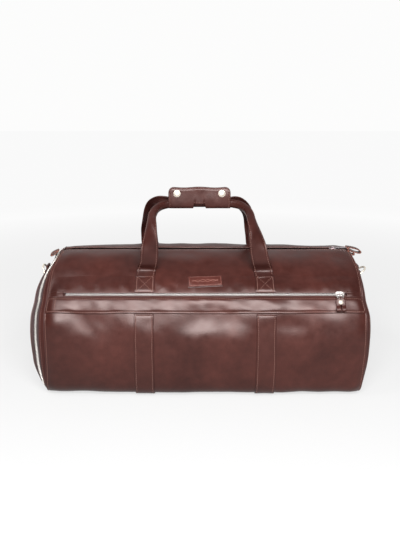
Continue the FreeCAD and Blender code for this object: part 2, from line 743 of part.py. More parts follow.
def strap_ring(ring):
    """D-ring whose straight bar turns in its leather chape, and the chape sewn to the end panel."""
    wire, inner = size("ring_wire") / 2, size("ring_inner_radius")
    bend = inner + wire
    pivot = ring_pivot(ring)
    tilt = math.radians(size(f"{ring.side}_ring_tilt"))
    out = Vector(ring.sign * math.cos(tilt), 0, math.sin(tilt))
    bar = Part.makeCylinder(wire, 2 * bend, Vector(0, -bend, 0), Vector(0, 1, 0))
    bow = Part.makeTorus(bend, wire, Vector(), Vector(0, 0, 1), 0, 360, 360)
    bow = bow.common(Part.makeBox(bend + wire + 1, 4 * bend, 4 * wire, Vector(0, -2 * bend, -2 * wire)))
    ends = [Part.makeSphere(wire, Vector(0, y, 0)) for y in (-bend, bend)]
    d_ring = bar.multiFuse([bow, *ends]).removeSplitter()
    up = out.cross(Vector(0, 1, 0)) * (1 if ring.sign > 0 else -1)
    local = frame_at(pivot, out, up)
    shape_feature(f"strap_ring_{ring.side}", d_ring, local)

    width, length, wall = size("chape_width"), size("chape_length"), size("leather")
    hole = wire + 0.3
    start = Vector(pivot.x, -width / 2, pivot.z)
    sleeve = Part.makeCylinder(hole + wall, width, start, Vector(0, 1, 0))
    back_x = pivot.x - ring.sign * (hole + wall)
    low_x = min(back_x, back_x + ring.sign * wall)
    tongue = Part.makeBox(wall, width, length, Vector(low_x, -width / 2, pivot.z))
    chape = sleeve.fuse(tongue).cut(Part.makeCylinder(hole, width, start, Vector(0, 1, 0)))
    shape_feature(f"strap_ring_chape_{ring.side}", chape.removeSplitter())


def leather_loop(label, length, place, droop, sign):
    """Folded leather loop that leaves the bag towards sign * X and droops by an angle."""
    tall, wall = size("loop_height"), size("leather")
    half, inner = tall / 2, tall / 2 - wall
    profile = [
        Part.LineSegment(Vector(0, half, 0), Vector(length - half, half, 0)),
        Part.Arc(Vector(length - half, half, 0), Vector(length, 0, 0), Vector(length - half, -half, 0)),
        Part.LineSegment(Vector(length - half, -half, 0), Vector(0, -half, 0)),
        Part.LineSegment(Vector(0, -half, 0), Vector(0, -inner, 0)),
        Part.LineSegment(Vector(0, -inner, 0), Vector(length - half, -inner, 0)),
        Part.Arc(Vector(length - half, -inner, 0), Vector(length - wall, 0, 0),
                 Vector(length - half, inner, 0)),
        Part.LineSegment(Vector(length - half, inner, 0), Vector(0, inner, 0)),
        Part.LineSegment(Vector(0, inner, 0), Vector(0, half, 0)),
    ]
    body = doc.addObject("PartDesign::Body", label)
    pad(body, sketch_on(body, f"{label}_outline", "XZ_Plane", profile), "sizes.loop_width")
    turn = Rotation(Vector(0, 1, 0), droop)
    if sign < 0:
        turn = Rotation(Vector(0, 0, 1), 180) * turn
    body.Placement = Placement(place, turn)
    keep(body, label)


def grab_loops():
    """A loop at each end of the main zip, and a short one over the right end's zip."""
    half = size("shell_length") / 2
    top = size("arch_height") + size("arch_radius")
    left_slope = math.degrees(math.atan2(size("left_drop"), size("left_reach")))
    leather_loop("grab_loop_left", 22, Vector(-half - 3, 0, top + 4.6), left_slope, -1)
    leather_loop("grab_loop_right", 32, Vector(half + 1, 0, top + 4.2), 14, 1)


# ---------------------------------------------------------------- assembly


def check_and_write():
    """Stops on any failed object or broken shape, then writes one STEP file for each sub-part."""
    doc.recompute()
    bad = [o.Label for o in doc.Objects if "Invalid" in o.State or "Error" in o.State]
    if bad:
        raise RuntimeError(f"failed objects: {bad}")
    for part in parts:
        if part.Shape.isNull() or not part.Shape.isValid() or part.Shape.Volume <= 0:
            raise RuntimeError(f"broken shape: {part.Label}")
    os.makedirs("parts", exist_ok=True)
    for old in os.listdir("parts"):
        os.remove(os.path.join("parts", old))
    for part in parts:
        part.Shape.exportStep(os.path.join("parts", part.Label + ".step"))
    print(len(parts), "sub-parts,", round(sum(p.Shape.Volume for p in parts) / 1000), "cm3")


def main():
    body_panels()
    front_pocket()
    load_straps()
    label_patch()
    handle_anchors()
    handle_legs()
    handle_grips()
    snap_wrap()
    top_zip()
    pocket_zip()
    for side in ("left", "right"):
        zipped_end(side)
        strap_ring(EndRing(side))
    grab_loops()
    check_and_write()


main()
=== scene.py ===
"""Looks of the leather duffel bag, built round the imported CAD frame.

Lengths are in metres. +X runs along the bag to its right end, -Y is the pocket side and +Z is up.
"""

import json
import math

import bmesh
import bpy
import numpy as np
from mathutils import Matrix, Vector


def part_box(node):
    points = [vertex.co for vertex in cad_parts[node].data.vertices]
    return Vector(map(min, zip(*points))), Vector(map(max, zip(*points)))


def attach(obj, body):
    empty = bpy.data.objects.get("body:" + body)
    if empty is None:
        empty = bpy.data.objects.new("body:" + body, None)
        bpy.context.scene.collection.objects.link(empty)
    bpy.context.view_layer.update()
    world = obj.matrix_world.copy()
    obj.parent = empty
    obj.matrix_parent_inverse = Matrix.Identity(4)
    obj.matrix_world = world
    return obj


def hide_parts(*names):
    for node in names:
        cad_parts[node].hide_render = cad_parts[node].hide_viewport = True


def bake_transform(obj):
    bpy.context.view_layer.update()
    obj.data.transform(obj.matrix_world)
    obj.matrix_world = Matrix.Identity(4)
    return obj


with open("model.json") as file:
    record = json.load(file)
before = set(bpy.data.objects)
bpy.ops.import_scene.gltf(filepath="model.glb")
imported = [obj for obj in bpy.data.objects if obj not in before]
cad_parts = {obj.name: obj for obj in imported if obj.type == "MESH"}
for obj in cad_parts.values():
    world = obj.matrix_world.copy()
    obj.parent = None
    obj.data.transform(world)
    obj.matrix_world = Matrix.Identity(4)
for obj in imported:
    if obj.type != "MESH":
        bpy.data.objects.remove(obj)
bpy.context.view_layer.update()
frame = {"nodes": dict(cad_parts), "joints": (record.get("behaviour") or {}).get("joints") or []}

MM = 0.001
SIDES = (("left", -1), ("right", 1))
FACES = (("front", -1), ("back", 1))

# ---- sizes, from the frame where it has them

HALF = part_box("front_panel")[1].x
ARCH_R = 150 * MM
ARCH_Z = 95 * MM
SIDE_R = 500 * MM
CORNER_R = 30 * MM
BASE_Z = 2.3 * MM
LEATHER = 2.0 * MM
LIP = 8 * MM

TURN = math.asin((ARCH_Z - BASE_Z - CORNER_R) / (SIDE_R - CORNER_R))
FLAT = (SIDE_R - CORNER_R) * math.cos(TURN) - (SIDE_R - ARCH_R)
S_ARCH = ARCH_R * math.pi / 2
S_SIDE = S_ARCH + SIDE_R * TURN
S_CORNER = S_SIDE + CORNER_R * (math.pi / 2 - TURN)
S_BASE = S_CORNER + FLAT
S_ALL = 2 * S_BASE


def s_at(degrees):
    """Distance round the section from its top to an angle above the horizontal, on the front of the arch."""
    return ARCH_R * math.radians(90 - degrees)


ZIP_ANGLE = 37.4
S_ZIP = s_at(ZIP_ANGLE)
S_BAND_TOP = s_at(34.8)
S_BAND_LOW = s_at(24.6)
S_ANCHOR_LOW = s_at(40.8)
S_LABEL = s_at(47)
S_POCKET_END = S_SIDE + CORNER_R * (math.radians(62) - TURN)
S_BACK_STRAP = S_SIDE + CORNER_R * (math.radians(67) - TURN)

# ---- surfaces


def unit(vectors):
    """The same vectors at length 1."""
    return vectors / np.linalg.norm(vectors, axis=-1, keepdims=True)


def section(s):
    """(y, z) of the section at a distance s from the top, down the front, under and up the back."""
    s = np.asarray(s, float)
    back = s > S_BASE
    t = np.where(back, S_ALL - s, s)
    arch = (math.pi / 2) - t / ARCH_R
    y, z = -ARCH_R * np.cos(arch), ARCH_Z + ARCH_R * np.sin(arch)
    side = (t - S_ARCH) / SIDE_R
    on = t > S_ARCH
    y = np.where(on, SIDE_R - ARCH_R - SIDE_R * np.cos(side), y)
    z = np.where(on, ARCH_Z - SIDE_R * np.sin(side), z)
    turn = TURN + (t - S_SIDE) / CORNER_R
    on = t > S_SIDE
    y = np.where(on, -FLAT - CORNER_R * np.cos(turn), y)
    z = np.where(on, BASE_Z + CORNER_R - CORNER_R * np.sin(turn), z)
    on = t > S_CORNER
    y = np.where(on, -FLAT + (t - S_CORNER), y)
    z = np.where(on, BASE_Z, z)
    return np.where(back, -y, y), z


def off_section(s, offset):
    """(y, z) at an offset outward from the section."""
    step = 0.1 * MM
    y, z = section(s)
    y1, z1 = section(s + step)
    y0, z0 = section(s - step)
    ty, tz = (y1 - y0) / (2 * step), (z1 - z0) / (2 * step)
    return y + tz * offset, z - ty * offset


def smooth(a, b, x):
    """0 below a, 1 above b, and an even S between them."""
    t = np.clip((np.asarray(x, float) - a) / (b - a), 0, 1)
    return t * t * (3 - 2 * t)


def hump(x, centre, width):
    """1 at the centre, falling off evenly on both sides."""
    return np.exp(-(((np.asarray(x, float) - centre) / width) ** 2))


def make_waves(seed, count, shortest, longest):
    """Directions, frequencies and phases of a sum of sines that stands in for soft dents."""
    rng = np.random.default_rng(seed)
    length = np.exp(rng.uniform(math.log(shortest), math.log(longest), count))
    angle = rng.uniform(0, math.pi, count)
    k = 2 * math.pi / length
    phase = rng.uniform(0, 2 * math.pi, count)
    return np.stack([k * np.cos(angle), k * np.sin(angle), phase, length / longest])


def waves(u, v, table):
    """Soft dents between about -1 and 1 at (u, v)."""
    total = np.zeros(np.broadcast(u, v).shape)
    for kx, ky, phase, weight in table.T:
        total = total + weight * np.sin(kx * u + ky * v + phase + 0.8 * np.sin(0.6 * ky * u - 0.5 * kx * v))
    return total / np.sqrt((table[3] ** 2).sum() / 2) / 1.6


DENTS = make_waves(11, 14, 0.05, 0.22)
RIPPLES = make_waves(23, 18, 0.018, 0.06)


def flare(x, s):
    """How far the soft ends of the shell spread along the bag low down, and draw in at the top."""
    x, s = np.broadcast_arrays(np.asarray(x, float), np.asarray(s, float))
    low = smooth(S_ZIP + 4 * MM, S_ZIP + 40 * MM, s) * (1 - smooth(S_BASE, S_ALL - S_CORNER, s))
    lowest = smooth(S_SIDE - 60 * MM, S_CORNER, s) * (1 - smooth(S_BASE, S_ALL - S_CORNER, s))
    top = 1 - smooth(10 * MM, 95 * MM, np.minimum(s, S_ALL - s))
    right = 5 * MM * low - 3 * MM * lowest - 5 * MM * top
    left = -3 * MM * low - 5 * MM * lowest + 9 * MM * top
    return np.where(x < 0, left, right) * (np.abs(x) / HALF) ** 3


def relief(x, s):
    """How far the filled leather stands off the plain section."""
    x, s = np.broadcast_arrays(np.asarray(x, float), np.asarray(s, float))
    t = np.where(s > S_BASE, S_ALL - s, s)
    quiet = 1 - 0.92 * hump(t, S_ZIP, 16 * MM) - 0.9 * hump(t, 0, 22 * MM)
    quiet = quiet * (1 - smooth(S_CORNER - 30 * MM, S_CORNER, t))
    seam = smooth(HALF - 22 * MM, HALF, np.abs(x))
    slack = 1 + 0.7 * hump(s, S_BAND_LOW + 20 * MM, 22 * MM)
    dents = slack * (1.7 * MM * waves(x, s, DENTS) + 0.13 * MM * waves(x, s, RIPPLES))
    full = 2.2 * MM * hump(t, S_SIDE - 10 * MM, 70 * MM) + 4.5 * MM * hump(s, S_ALL - 42 * MM, 26 * MM)
    belly = full * (1 - (x / HALF) ** 2)
    return quiet * (dents * (1 - 0.6 * seam) + belly) - 1.2 * MM * seam


class Skin:
    """A surface given by a function of two coordinates, with its outward side looking towards a direction."""

    def __init__(self, base, spot, towards):
        self.base = base
        self.flip = 1
        if self.at(*spot)[1] @ np.array(towards) < 0:
            self.flip = -1

    def at(self, u, v, lift=0.0):
        """Points at a lift off the surface, and the surface's normals there."""
        u, v = np.broadcast_arrays(np.asarray(u, float), np.asarray(v, float))
        step = 0.3 * MM
        along_u = self.base(u + step, v) - self.base(u - step, v)
        along_v = self.base(u, v + step) - self.base(u, v - step)
        n = np.cross(along_u, along_v) * self.flip
        n /= np.linalg.norm(n, axis=-1, keepdims=True) + 1e-12
        return self.base(u, v) + n * np.asarray(lift, float)[..., None], n


def body_base(x, s):
    y, z = off_section(s, relief(x, s))
    return np.stack([x + flare(x, s), y, z], -1)


BODY = Skin(body_base, (0.0, 0.1), (0, -1, 0))
WIDTH = (-HALF, HALF)


class End:
    """One zipped end. r is the distance out from the seam down the cone, then onto the domed panel."""

    # reach and drop of the cone, rise of the dome, bulge and tuck of the front, seed of the dents
    SHAPES = {"left": (20, 13, 8, 9, 0, 31), "right": (13, 20, 5, 8, 9, 37)}

    def __init__(self, side, sign):
        *sizes, seed = self.SHAPES[side]
        self.sign = sign
        self.reach, self.drop, self.rise, self.bulge, self.tuck = (size * MM for size in sizes)
        self.slant = math.hypot(self.reach, self.drop)
        self.dents = make_waves(seed, 12, 0.05, 0.16)
        self.cone = Skin(self.cone_base, (0.3 * self.slant, S_ARCH), (0, -1, 0))
        self.dome = Skin(self.dome_base, (0.5, S_ARCH), (sign, 0, 0))

    def settle(self, x, y, z, share):
        """Soft sag of the end: drawn in at the top front and the bottom, full at the middle of the front."""
        front = 1 - smooth(-60 * MM, 20 * MM, y)
        high = smooth(185 * MM, 250 * MM, z)
        low = 1 - smooth(0.0, 70 * MM, z)
        full = hump(z, 125 * MM, 85 * MM)
        shift = front * (self.bulge * full - 0.8 * self.reach * high) - 0.75 * self.reach * low
        tuck = self.tuck * front * smooth(0.34, 0.72, share)
        return x + self.sign * (shift * np.clip(share, 0, 1.2) - tuck)

    def cone_base(self, r, s):
        share = r / self.slant
        y, z = off_section(s, -0.5 * MM - self.drop * share)
        x = self.sign * (HALF + self.reach * share) + flare(self.sign * HALF, s)
        return np.stack([self.settle(x, y, z, share), y, z], -1)

    def dome_base(self, k, s):
        """k runs from 0 at the rim to 1 at the hub."""
        rim = self.cone_base(0.97 * self.slant + 0 * k, s)
        hub = np.array([self.sign * (HALF + self.reach * 0.9), 0, ARCH_Z])
        p = hub + (rim - hub) * (1 - np.asarray(k))[..., None]
        puff = self.rise * (1 - (1 - smooth(0, 1, k)) ** 2)
        dent = 2.2 * MM * waves(p[..., 1], p[..., 2], self.dents) * smooth(0, 0.35, k)
        p[..., 0] += self.sign * (puff + dent)
        return p


# ---- meshes. A finish is a piece's materials and the name of its slot.


def new_object(name, vertices, faces, finish, face_material=None, smooth_shading=True):
    materials, slot = finish
    mesh = bpy.data.meshes.new(name)
    mesh.from_pydata([tuple(v) for v in vertices], [], [tuple(f) for f in faces])
    for material in materials:
        mesh.materials.append(material)
    if face_material is not None:
        mesh.polygons.foreach_set("material_index", np.asarray(face_material, np.int32))
    mesh.polygons.foreach_set("use_smooth", [smooth_shading] * len(mesh.polygons))
    mesh.update()
    obj = bpy.data.objects.new(name, mesh)
    bpy.context.scene.collection.objects.link(obj)
    return obj


def place(obj, body, *nodes):
    """Rides a piece on its body and hides the CAD nodes that it stands for."""
    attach(obj, body)
    if nodes:
        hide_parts(*nodes)


def face_out(obj):
    """Turns a closed mesh's faces outward."""
    bm = bmesh.new()
    bm.from_mesh(obj.data)
    bmesh.ops.recalc_face_normals(bm, faces=bm.faces)
    bm.to_mesh(obj.data)
    bm.free()


def tube_faces(rings, sides, start=0):
    """Faces of a closed tube made of rings of points."""
    faces = []
    for ring in range(rings - 1):
        for k in range(sides):
            a = start + ring * sides + k
            b = start + ring * sides + (k + 1) % sides
            faces.append((a, b, b + sides, a + sides))
    last = start + (rings - 1) * sides
    faces.append(tuple(start + k for k in reversed(range(sides))))
    faces.append(tuple(last + k for k in range(sides)))
    return faces


def slab(name, outer, inner, finish, wrap_v=False, hub=False):
    """Closed sheet between two grids of points, its rim in the last material. hub closes its last row."""
    nu, nv = outer.shape[:2]
    vertices = np.concatenate([outer.reshape(-1, 3), inner.reshape(-1, 3)])
    base = nu * nv
    columns = nv if wrap_v else nv - 1

    def at(i, j):
        return i * nv + (j % nv)

    faces, rim = [], []
    for i in range(nu - 1):
        for j in range(columns):
            a, b, c, d = at(i, j), at(i + 1, j), at(i + 1, j + 1), at(i, j + 1)
            faces += [(a, b, c, d), (base + d, base + c, base + b, base + a)]
    index = [0] * len(faces)
    for j in range(columns):
        rim.append((at(0, j), at(0, j + 1)))
        if not hub:
            rim.append((at(nu - 1, j + 1), at(nu - 1, j)))
    if not wrap_v:
        for i in range(nu - 1):
            rim.append((at(i + 1, 0), at(i, 0)))
            rim.append((at(i, nv - 1), at(i + 1, nv - 1)))
    faces += [(a, b, base + b, base + a) for a, b in rim]
    index += [len(finish[0]) - 1] * len(rim)
    if hub:
        last = (nu - 1) * nv
        for start, turned in ((last, False), (base + last, True)):
            centre = len(vertices)
            vertices = np.concatenate([vertices, vertices[start:start + nv].mean(axis=0, keepdims=True)])
            for j in range(nv):
                a, b = start + j, start + (j + 1) % nv
                faces.append((b, a, centre) if turned else (a, b, centre))
        index += [0] * (2 * nv)
    obj = new_object(name, vertices, faces, finish, index)
    face_out(obj)
    return obj


EDGE_STEPS = np.array([0, 0.25, 0.7, 1.4, 2.3, 3.0, 3.7, 5.0]) * MM
GROOVE = 3.0 * MM
STITCH_SINK = 0.35 * MM


def samples(a, b, step, low=True, high=True):
    """Values from a to b, closer together next to an edge that is turned and stitched."""
    inner_a = a + (EDGE_STEPS[-1] if low else 0)
    inner_b = b - (EDGE_STEPS[-1] if high else 0)
    count = max(2, int(round((inner_b - inner_a) / step)) + 1)
    middle = np.linspace(inner_a, inner_b, count)
    left = a + EDGE_STEPS[:-1] if low else np.array([])
    right = (b - EDGE_STEPS[:-1])[::-1] if high else np.array([])
    return np.concatenate([left, middle, right])


def edge_shape(distance, thickness, stitched):
    """Drop of a leather sheet's face at a distance from its edge: a rounded edge and a stitched groove."""
    rounding = 0.42 * thickness * np.clip(1 - distance / (0.7 * MM), 0, 1) ** 2
    groove = 0.45 * MM * hump(distance, GROOVE, 0.9 * MM) if stitched else 0
    return rounding + groove


def patch(name, skin, u_range, v_range, lift, thickness, finish, *nodes, sides="uvUV", stitched="uvUV",
          step=4 * MM, step_v=None, swell=0.0):
    """Sheet on a skin, fixed to the bag. u, v, U, V name its edges; lift and thickness may be functions."""
    us = samples(*u_range, step, "u" in sides, "U" in sides)
    vs = samples(*v_range, step_v or step, "v" in sides, "V" in sides)
    u, v = np.meshgrid(us, vs, indexing="ij")
    under = lift(u, v) if callable(lift) else np.full(u.shape, lift)
    thickness = thickness(u, v) if callable(thickness) else thickness
    drop = np.zeros(u.shape)
    for side, distance in (("u", u - us[0]), ("U", us[-1] - u), ("v", v - vs[0]), ("V", vs[-1] - v)):
        if side in sides:
            drop = np.maximum(drop, edge_shape(distance, thickness, side in stitched))
    if swell:
        for low, high in ((u - us[0], us[-1] - u), (v - vs[0], vs[-1] - v)):
            swell = swell * smooth(0, 6 * MM, np.minimum(low, high))
    outer, inner = skin.at(u, v, under + swell + thickness - drop)[0], skin.at(u, v, under + swell)[0]
    place(slab(name, outer, inner, finish), "bag", *nodes)


# ---- lines and stitches


def travel(points):
    """Distance along a line of points, at each of them."""
    return np.concatenate([[0], np.cumsum(np.linalg.norm(np.diff(points, axis=0), axis=1))])


def between(points, distance, d):
    """A line of points read at distances d along it."""
    return np.stack([np.interp(d, distance, points[:, c]) for c in range(points.shape[1])], -1)


def even(points):
    """The same curve with its points evenly spaced."""
    distance = travel(points)
    return between(points, distance, np.linspace(0, distance[-1], len(points)))


def spline(points, count):
    """Catmull-Rom curve through points."""
    points = np.asarray(points, float)
    padded = np.vstack([2 * points[0] - points[1], points, 2 * points[-1] - points[-2]])
    spans = len(points) - 1
    out = []
    for i in range(count):
        t = i / (count - 1) * spans
        k = min(int(t), spans - 1)
        f = t - k
        a, b, c, d = padded[k:k + 4]
        square, cube = 2 * a - 5 * b + 4 * c - d, 3 * b - a - 3 * c + d
        out.append(0.5 * (2 * b + (c - a) * f + square * f ** 2 + cube * f ** 3))
    return np.array(out)


# place along a stitch's length, thickness and height of the rings that it is made of
STITCH_RINGS = [(-0.5, 0.35, -0.55), (-0.32, 0.9, 0.1), (0, 1.0, 0.35), (0.32, 0.9, 0.1), (0.5, 0.35, -0.55)]
STITCH_SIDES = 6


class Thread:
    """Collects stitches and makes them one mesh."""

    def __init__(self):
        self.vertices = []
        self.faces = []

    def add(self, origin, along, normal, length, radius):
        along = unit(along)
        side = unit(np.cross(normal, along))
        up = np.cross(along, side)
        self.faces += tube_faces(len(STITCH_RINGS), STITCH_SIDES, len(self.vertices))
        for share, scale, height in STITCH_RINGS:
            centre = origin + along * (share * length) + up * (height * radius)
            for k in range(STITCH_SIDES):
                a = 2 * math.pi * k / STITCH_SIDES
                self.vertices.append(centre + (side * math.cos(a) + up * 0.75 * math.sin(a)) * radius * scale)

    def run(self, points, normals, pitch=4.0 * MM, length=2.9 * MM, radius=0.52 * MM):
        """Stitches at an even pitch along a line of points."""
        points, normals = np.asarray(points), np.asarray(normals)
        distance = travel(points)
        count = int(distance[-1] / pitch)
        margin = (distance[-1] - (count - 1) * pitch) / 2
        for i in range(count):
            d = margin + i * pitch
            p = between(points, distance, d)
            ahead = between(points, distance, d + 0.3 * MM) - p
            if np.linalg.norm(ahead) > 1e-7:
                self.add(p, ahead, between(normals, distance, d), length, radius)

    def on(self, skin, start, stop, lift, **kwargs):
        """Stitches straight from start to stop in a skin's own coordinates."""
        count = max(2, int(math.dist(start, stop) / (2 * MM)))
        u, v = np.linspace(start, stop, count).T
        self.run(*skin.at(u, v, lift(u, v) if callable(lift) else lift), **kwargs)

    def frame(self, skin, u_range, v_range, lift, inset=GROOVE, sides="uvUV", **kwargs):
        """Stitches round the inside of a rectangle."""
        u0, u1 = u_range[0] + inset, u_range[1] - inset
        v0, v1 = v_range[0] + inset, v_range[1] - inset
        lines = {"u": ((u0, v0), (u0, v1)), "U": ((u1, v0), (u1, v1)),
                 "v": ((u0, v0), (u1, v0)), "V": ((u0, v1), (u1, v1))}
        for side in sides:
            self.on(skin, *lines[side], lift, **kwargs)

    def object(self, name, slot, body="bag", material=None):
        obj = new_object(name, self.vertices, self.faces, ([material or THREAD], slot))
        if body:
            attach(obj, body)
        return obj


# ---- materials


def start_material(name):
    material = bpy.data.materials.new(name)
    material.use_nodes = True
    tree = material.node_tree
    return material, tree, next(n for n in tree.nodes if n.type == "BSDF_PRINCIPLED")


def fill(tree, node, sockets):
    """Links a node's sockets that are given an output, and sets those that are given a value."""
    for socket, value in sockets.items():
        if isinstance(value, bpy.types.NodeSocket):
            tree.links.new(value, node.inputs[socket])
        else:
            node.inputs[socket].default_value = value


def add_node(tree, kind, sockets, **settings):
    node = tree.nodes.new(kind)
    for setting, value in settings.items():
        setattr(node, setting, value)
    fill(tree, node, sockets)
    return node


def coordinates(tree, kind="Object"):
    return tree.nodes.new("ShaderNodeTexCoord").outputs[kind]


def noise(tree, scale, detail=4, rough=0.6, distortion=0.0):
    sockets = {"Vector": coordinates(tree), "Scale": scale, "Detail": detail, "Roughness": rough,
               "Distortion": distortion}
    return add_node(tree, "ShaderNodeTexNoise", sockets).outputs["Fac"]


def ramp(tree, source, low, high, a, b):
    """Colour a up to low, b from high on, and a blend between them."""
    node = add_node(tree, "ShaderNodeValToRGB", {"Fac": source})
    for element, position, colour in zip(node.color_ramp.elements, (low, high), (a, b)):
        element.position = position
        element.color = (*colour, 1)
    return node.outputs["Color"]


def multiply(tree, first, second):
    sockets = {"Fac": 1, "Color1": first, "Color2": second}
    return add_node(tree, "ShaderNodeMixRGB", sockets, blend_type="MULTIPLY").outputs["Color"]


def bump(tree, height, strength, distance, under=None):
    sockets = {"Strength": strength, "Distance": distance, "Height": height}
    if under is not None:
        sockets["Normal"] = under
    return add_node(tree, "ShaderNodeBump", sockets).outputs["Normal"]


def grey(value):
    return (value, value, value)


def shade(colour, factor):
    return tuple(c * factor for c in colour)


def leather_material(name, dark, light, rough, creases, gloss_level=0.5):
    """Pigmented full-grain leather: fine pebbled grain, soft creases, cloudy colour and uneven gloss."""
    material, tree, shader = start_material(name)
    fine = noise(tree, 70)
    cloud = ramp(tree, noise(tree, 9, distortion=0.4), 0.32, 0.7, dark, light)
    speck = ramp(tree, fine, 0.35, 0.7, grey(0.86), grey(1.08))
    soft = bump(tree, noise(tree, 26, 2, 0.5, 0.3), creases, 2.2 * MM)
    fill(tree, shader, {
        "Base Color": multiply(tree, cloud, speck),
        "Roughness": ramp(tree, fine, 0.3, 0.7, grey(rough[0]), grey(rough[1])),
        "Normal": bump(tree, noise(tree, 520, 1, 0.5), 0.16, 0.25 * MM, soft),
        "IOR": 1.36,
        "Specular IOR Level": gloss_level,
        "Specular Tint": (1.0, 0.84, 0.81, 1),
    })
    return material


def metal_material(name, colour, rough, metallic=1.0):
    """Plated metal with faint smears in its gloss and colour."""
    material, tree, shader = start_material(name)
    smear = noise(tree, 160)
    fill(tree, shader, {
        "Base Color": ramp(tree, smear, 0.35, 0.65, shade(colour, 0.85), colour),
        "Roughness": ramp(tree, smear, 0.3, 0.7, grey(rough), grey(rough + 0.14)),
        "Metallic": metallic,
    })
    return material


def cloth_material(name, colour, scale, sheen):
    """Woven tape or lining: crossing yarns in bump and colour."""
    material, tree, shader = start_material(name)
    sockets = {"Vector": coordinates(tree), "Scale": scale, "Distortion": 0.4}
    yarns = [add_node(tree, "ShaderNodeTexWave", sockets, bands_direction=way) for way in "XZ"]
    weave = multiply(tree, *(yarn.outputs["Color"] for yarn in yarns))
    fill(tree, shader, {
        "Base Color": ramp(tree, weave, 0.0, 0.6, shade(colour, 0.6), shade(colour, 1.25)),
        "Normal": bump(tree, weave, 0.5, 0.3 * MM),
        "Roughness": 0.85,
        "Sheen Weight": sheen,
    })
    return material


def plain_material(name, dark, light, scale, rough):
    """Thread, edge paint or board: a speckled colour with a faint rough surface."""
    material, tree, shader = start_material(name)
    spots = noise(tree, scale)
    fill(tree, shader, {
        "Base Color": ramp(tree, spots, 0.35, 0.65, dark, light),
        "Normal": bump(tree, spots, 0.4, 0.2 * MM),
        "Roughness": rough,
    })
    return material


HIDE = leather_material("hide", (0.0205, 0.0050, 0.0038), (0.040, 0.0106, 0.0080), (0.31, 0.41), 0.10)
GUSSET_HIDE = leather_material("gusset_hide", (0.024, 0.0060, 0.0050), (0.040, 0.0110, 0.0086), (0.46, 0.58),
                               0.10, gloss_level=0.25)
STRAP_HIDE = leather_material("strap_hide", (0.021, 0.0053, 0.0041), (0.039, 0.0107, 0.0081), (0.30, 0.40),
                              0.14)
# Handle legs: a darker copy of the strap leather, painted shade for legs that turn away from the light
LEG_HIDE_PAINTED_SHADE = leather_material("leg_hide_painted_shade", (0.0165, 0.0041, 0.0032), (0.032, 0.0085, 0.0065), (0.33, 0.43), 0.14,
                            gloss_level=0.42)
LABEL_HIDE = leather_material("label_hide", (0.038, 0.0092, 0.0070), (0.062, 0.0165, 0.0126), (0.3, 0.4),
                              0.35)
PRESSED = plain_material("pressed_ornament", (0.12, 0.042, 0.032), (0.18, 0.070, 0.053), 500, 0.5)
EDGE_PAINT = plain_material("edge_paint", (0.030, 0.009, 0.007), (0.062, 0.019, 0.014), 260, 0.5)
RAW_EDGE = plain_material("raw_edge", (0.10, 0.028, 0.016), (0.20, 0.062, 0.036), 260, 0.5)
THREAD = plain_material("thread", (0.080, 0.032, 0.024), (0.135, 0.060, 0.046), 900, 0.6)
TAPE = cloth_material("zip_tape", (0.030, 0.013, 0.013), 420, 0.0)
LINING = cloth_material("lining", (0.11, 0.075, 0.055), 260, 0.2)
SILVER = metal_material("zip_silver", (0.31, 0.29, 0.28), 0.34, metallic=0.85)
IVORY = metal_material("end_zip_teeth", (0.60, 0.57, 0.54), 0.40, metallic=0.5)
NICKEL = metal_material("nickel", (0.66, 0.60, 0.52), 0.38, metallic=0.7)
GUNMETAL = metal_material("gunmetal", (0.42, 0.36, 0.37), 0.28)
BOARD = plain_material("board", (0.12, 0.09, 0.06), (0.2, 0.15, 0.1), 120, 0.85)

HIDE_SET = ([HIDE, EDGE_PAINT], "body_leather")
GUSSET_SET = ([GUSSET_HIDE, EDGE_PAINT], "body_leather")
LABEL_SET = ([LABEL_HIDE, EDGE_PAINT], "body_leather")
EDGE_PAINT_AND_SHADE_RIM_SET = ([EDGE_PAINT], "body_leather")
STRAP_SET = ([STRAP_HIDE, EDGE_PAINT], "strap_leather")
LEG_SET_PAINTED_SHADE = ([LEG_HIDE_PAINTED_SHADE, EDGE_PAINT], "strap_leather")
LOOP_SET = ([STRAP_HIDE, RAW_EDGE], "strap_leather")
TAPE_SET = ([TAPE], "zip_tape")
SILVER_SET = ([SILVER], "zip_metal")
IVORY_SET = ([IVORY], "zip_metal")
NICKEL_SET = ([NICKEL], "nickel")

# ---- body panels

POCKET_LIFT = 2.5 * MM
STRAP_W = 35 * MM
STRAP_X = 108.5 * MM
BAND_LIFT = POCKET_LIFT + LEATHER + 0.3 * MM


def pocket_lift(x, s):
    """Stand-off of the pocket panel: slack in its middle, drawn down to the seams."""
    inset = np.minimum(HALF - np.abs(x), S_POCKET_END - s)
    return 0.3 * MM + (POCKET_LIFT - 0.3 * MM) * smooth(0, 14 * MM, inset)


LIP_GAP = 2.6 * MM
LIP_TOP = 5.15 * MM
LIP_SKIVED = 1.1 * MM
LIP_FALL = 46 * MM


def upper_thickness(x, s):
    """Leather above the pocket zip, pared thin where the slider's plates pass over it."""
    return LIP_SKIVED + (LEATHER - LIP_SKIVED) * smooth(5.2 * MM, 8.5 * MM, S_ZIP - s)


def upper_outer(x, s):
    """Outer face of the leather above the pocket zip: out of the panel, over the tape, to the teeth."""
    d = S_ZIP - s
    swell = 0.7 * MM * waves(x * 1.5, s * 0, RIPPLES) * hump(d, 16 * MM, 8 * MM)
    over_zip = 1 - smooth(262 * MM, 281 * MM, np.abs(x))
    return -0.4 * MM + over_zip * ((LIP_TOP + 0.4 * MM) * (1 - smooth(5 * MM, LIP_FALL, d)) + swell)


def upper_lift(x, s):
    return upper_outer(x, s) - upper_thickness(x, s)


